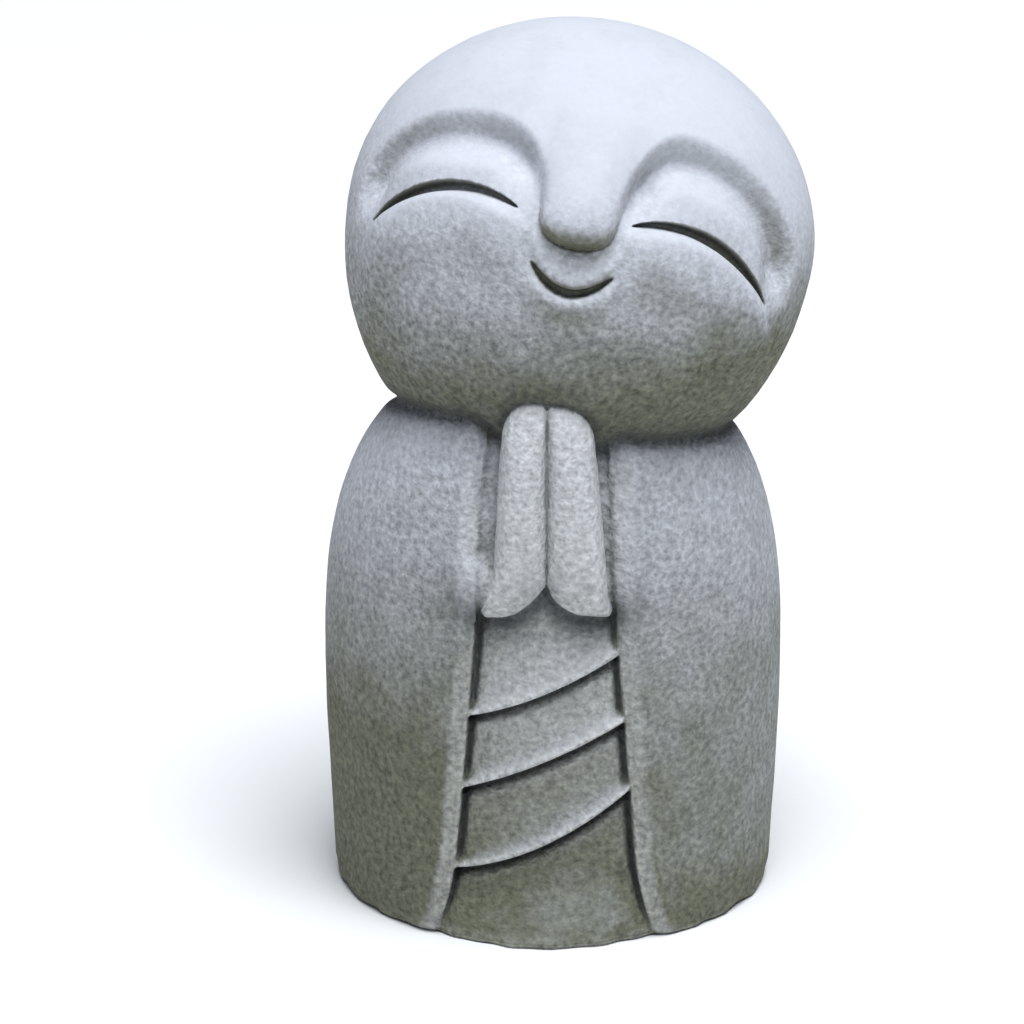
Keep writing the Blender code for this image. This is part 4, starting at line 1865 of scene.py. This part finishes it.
    def around(self, values: Array, ends: Array) -> Array:
        """Mean over the edges that start at each vertex."""
        count = np.bincount(ends[:, 0])
        return np.bincount(ends[:, 0], weights=values) / count

    def blur(self, values: Array, ends: Array) -> Array:
        """Soften a mask over the mesh.

        Args:
            values: The mask's value at each vertex.
            ends: The edges' ends, both ways round.

        Returns:
            The softened values.
        """
        for _ in range(self.wear_passes):
            values = 0.5 * (values + self.around(values[ends[:, 1]], ends))
        return values

    def build(self) -> bpy.types.Object:
        """Build, finish and register the figure.

        Returns:
            The finished piece.
        """
        bm = self.join()
        self.refine_joints(bm)
        joint = self.sink_joints(bm)
        self.weather(bm)
        bm.normal_update()
        tree = BVHTree.FromBMesh(bm)
        masks = {
            Mask.CREASE: self.crease_mask(bm, tree),
            Mask.JOINT: joint,
            Mask.SKY: self.sky_mask(bm, tree),
            Mask.WEAR: self.wear_mask(bm),
            Mask.PALE: self.pale_mask(bm),
        }
        open_edges = sum(not edge.is_manifold for edge in bm.edges)
        LOG.info("figure: %d triangles, %d open edges", len(bm.faces), open_edges)
        bm.faces.layers.int.remove(bm.faces.layers.int[PART_LAYER])
        bmesh.ops.scale(bm, vec=Vector((self.unit,) * 3), verts=bm.verts)
        figure = make_object("jizo", bm)
        for mask, values in masks.items():
            layer = figure.data.attributes.new(mask.value, "FLOAT", "POINT")
            layer.data.foreach_set("value", values.astype(np.float32))
        figure.data.shade_smooth()
        figure.data.materials.append(self.finish.material(self.unit))
        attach(figure, "root")
        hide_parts(CAD_NODE)
        return figure


@dataclass
class Studio:
    """Plain pale floor, soft light from above and the camera."""

    unit: float
    target: Place = (-3.81, 0.0, 35.77)
    distance: float = 600.0
    elevation: float = math.radians(20.5)
    lens: float = 227.2
    sensor: float = 36.0
    clip_start: float = 0.01
    floor_half_size: float = 3000.0
    floor_color: Color = (0.92, 0.92, 0.92)
    floor_roughness: float = 0.9
    sky_place: Place = (190.0, -450.0, 1950.0)
    sky_power: float = 54.0
    sky_size: float = 1200.0
    sky_color: Color = (0.93, 0.96, 1.0)
    sky_aim: Place = (0.0, 0.0, 45.0)
    fill: Color = (0.92, 0.97, 1.12)
    fill_strength: float = 0.15
    backdrop_strength: float = 0.235

    def floor(self) -> None:
        """Lay the floor."""
        bm = bmesh.new()
        bmesh.ops.create_grid(bm, x_segments=1, y_segments=1, size=self.floor_half_size * self.unit)
        mesh = bpy.data.meshes.new("floor")
        bm.to_mesh(mesh)
        bm.free()
        material = bpy.data.materials.new("pale_floor")
        material.use_nodes = True
        shader = material.node_tree.nodes["Principled BSDF"]
        shader.inputs["Base Color"].default_value = (*self.floor_color, 1.0)
        shader.inputs["Roughness"].default_value = self.floor_roughness
        mesh.materials.append(material)
        floor = add_object("floor", mesh)

    def light(self) -> None:
        """Hang a square soft light that points at the figure."""
        lamp = bpy.data.lights.new("sky_panel", "AREA")
        lamp.energy = self.sky_power
        lamp.size = self.sky_size * self.unit
        lamp.color = self.sky_color
        panel = add_object("sky_panel", lamp)
        place = Vector(self.sky_place)
        aim = (Vector(self.sky_aim) - place).to_track_quat("-Z", "Y").to_matrix().to_4x4()
        panel.matrix_world = Matrix.Translation(place * self.unit) @ aim

    def world(self) -> None:
        """Set the even light from all round, and how bright the camera sees the backdrop."""
        world = bpy.data.worlds.new("fill")
        world.use_nodes = True
        background = world.node_tree.nodes["Background"]
        background.inputs["Color"].default_value = (*self.fill, 1.0)
        nodes = NodeDesk(world.node_tree)
        seen = nodes.add("ShaderNodeLightPath").outputs["Is Camera Ray"]
        extra = self.backdrop_strength - self.fill_strength
        nodes.link(nodes.math("MULTIPLY_ADD", seen, extra, self.fill_strength), background.inputs["Strength"])
        bpy.context.scene.world = world

    def camera(self) -> None:
        """Place the camera in front of the figure, looking slightly down at it."""
        data = bpy.data.cameras.new("camera")
        data.lens = self.lens
        data.sensor_width = self.sensor
        data.clip_start = self.clip_start
        camera = add_object("camera", data)
        back = Vector((0.0, -math.cos(self.elevation), math.sin(self.elevation)))
        place = (Vector(self.target) + back * self.distance) * self.unit
        camera.matrix_world = Matrix.Translation(place) @ back.to_track_quat("Z", "Y").to_matrix().to_4x4()
        bpy.context.scene.camera = camera

    def build(self) -> None:
        """Set up the studio."""
        self.floor()
        self.light()
        self.world()
        self.camera()
        bpy.context.scene.view_settings.view_transform = "Standard"


def main() -> None:
    """Build the figure and its studio."""
    logging.basicConfig(level=logging.INFO, format="%(name)s: %(message)s")
    low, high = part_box(CAD_NODE)
    unit = (high.z - low.z) / FIGURE_HEIGHT
    figure = Figure(unit).build()
    LOG.info("%s: %d vertices", figure.name, len(figure.data.vertices))
    Studio(unit).build()
    LOG.info("studio: floor, light and camera")


if __name__ == "__main__":
    main()
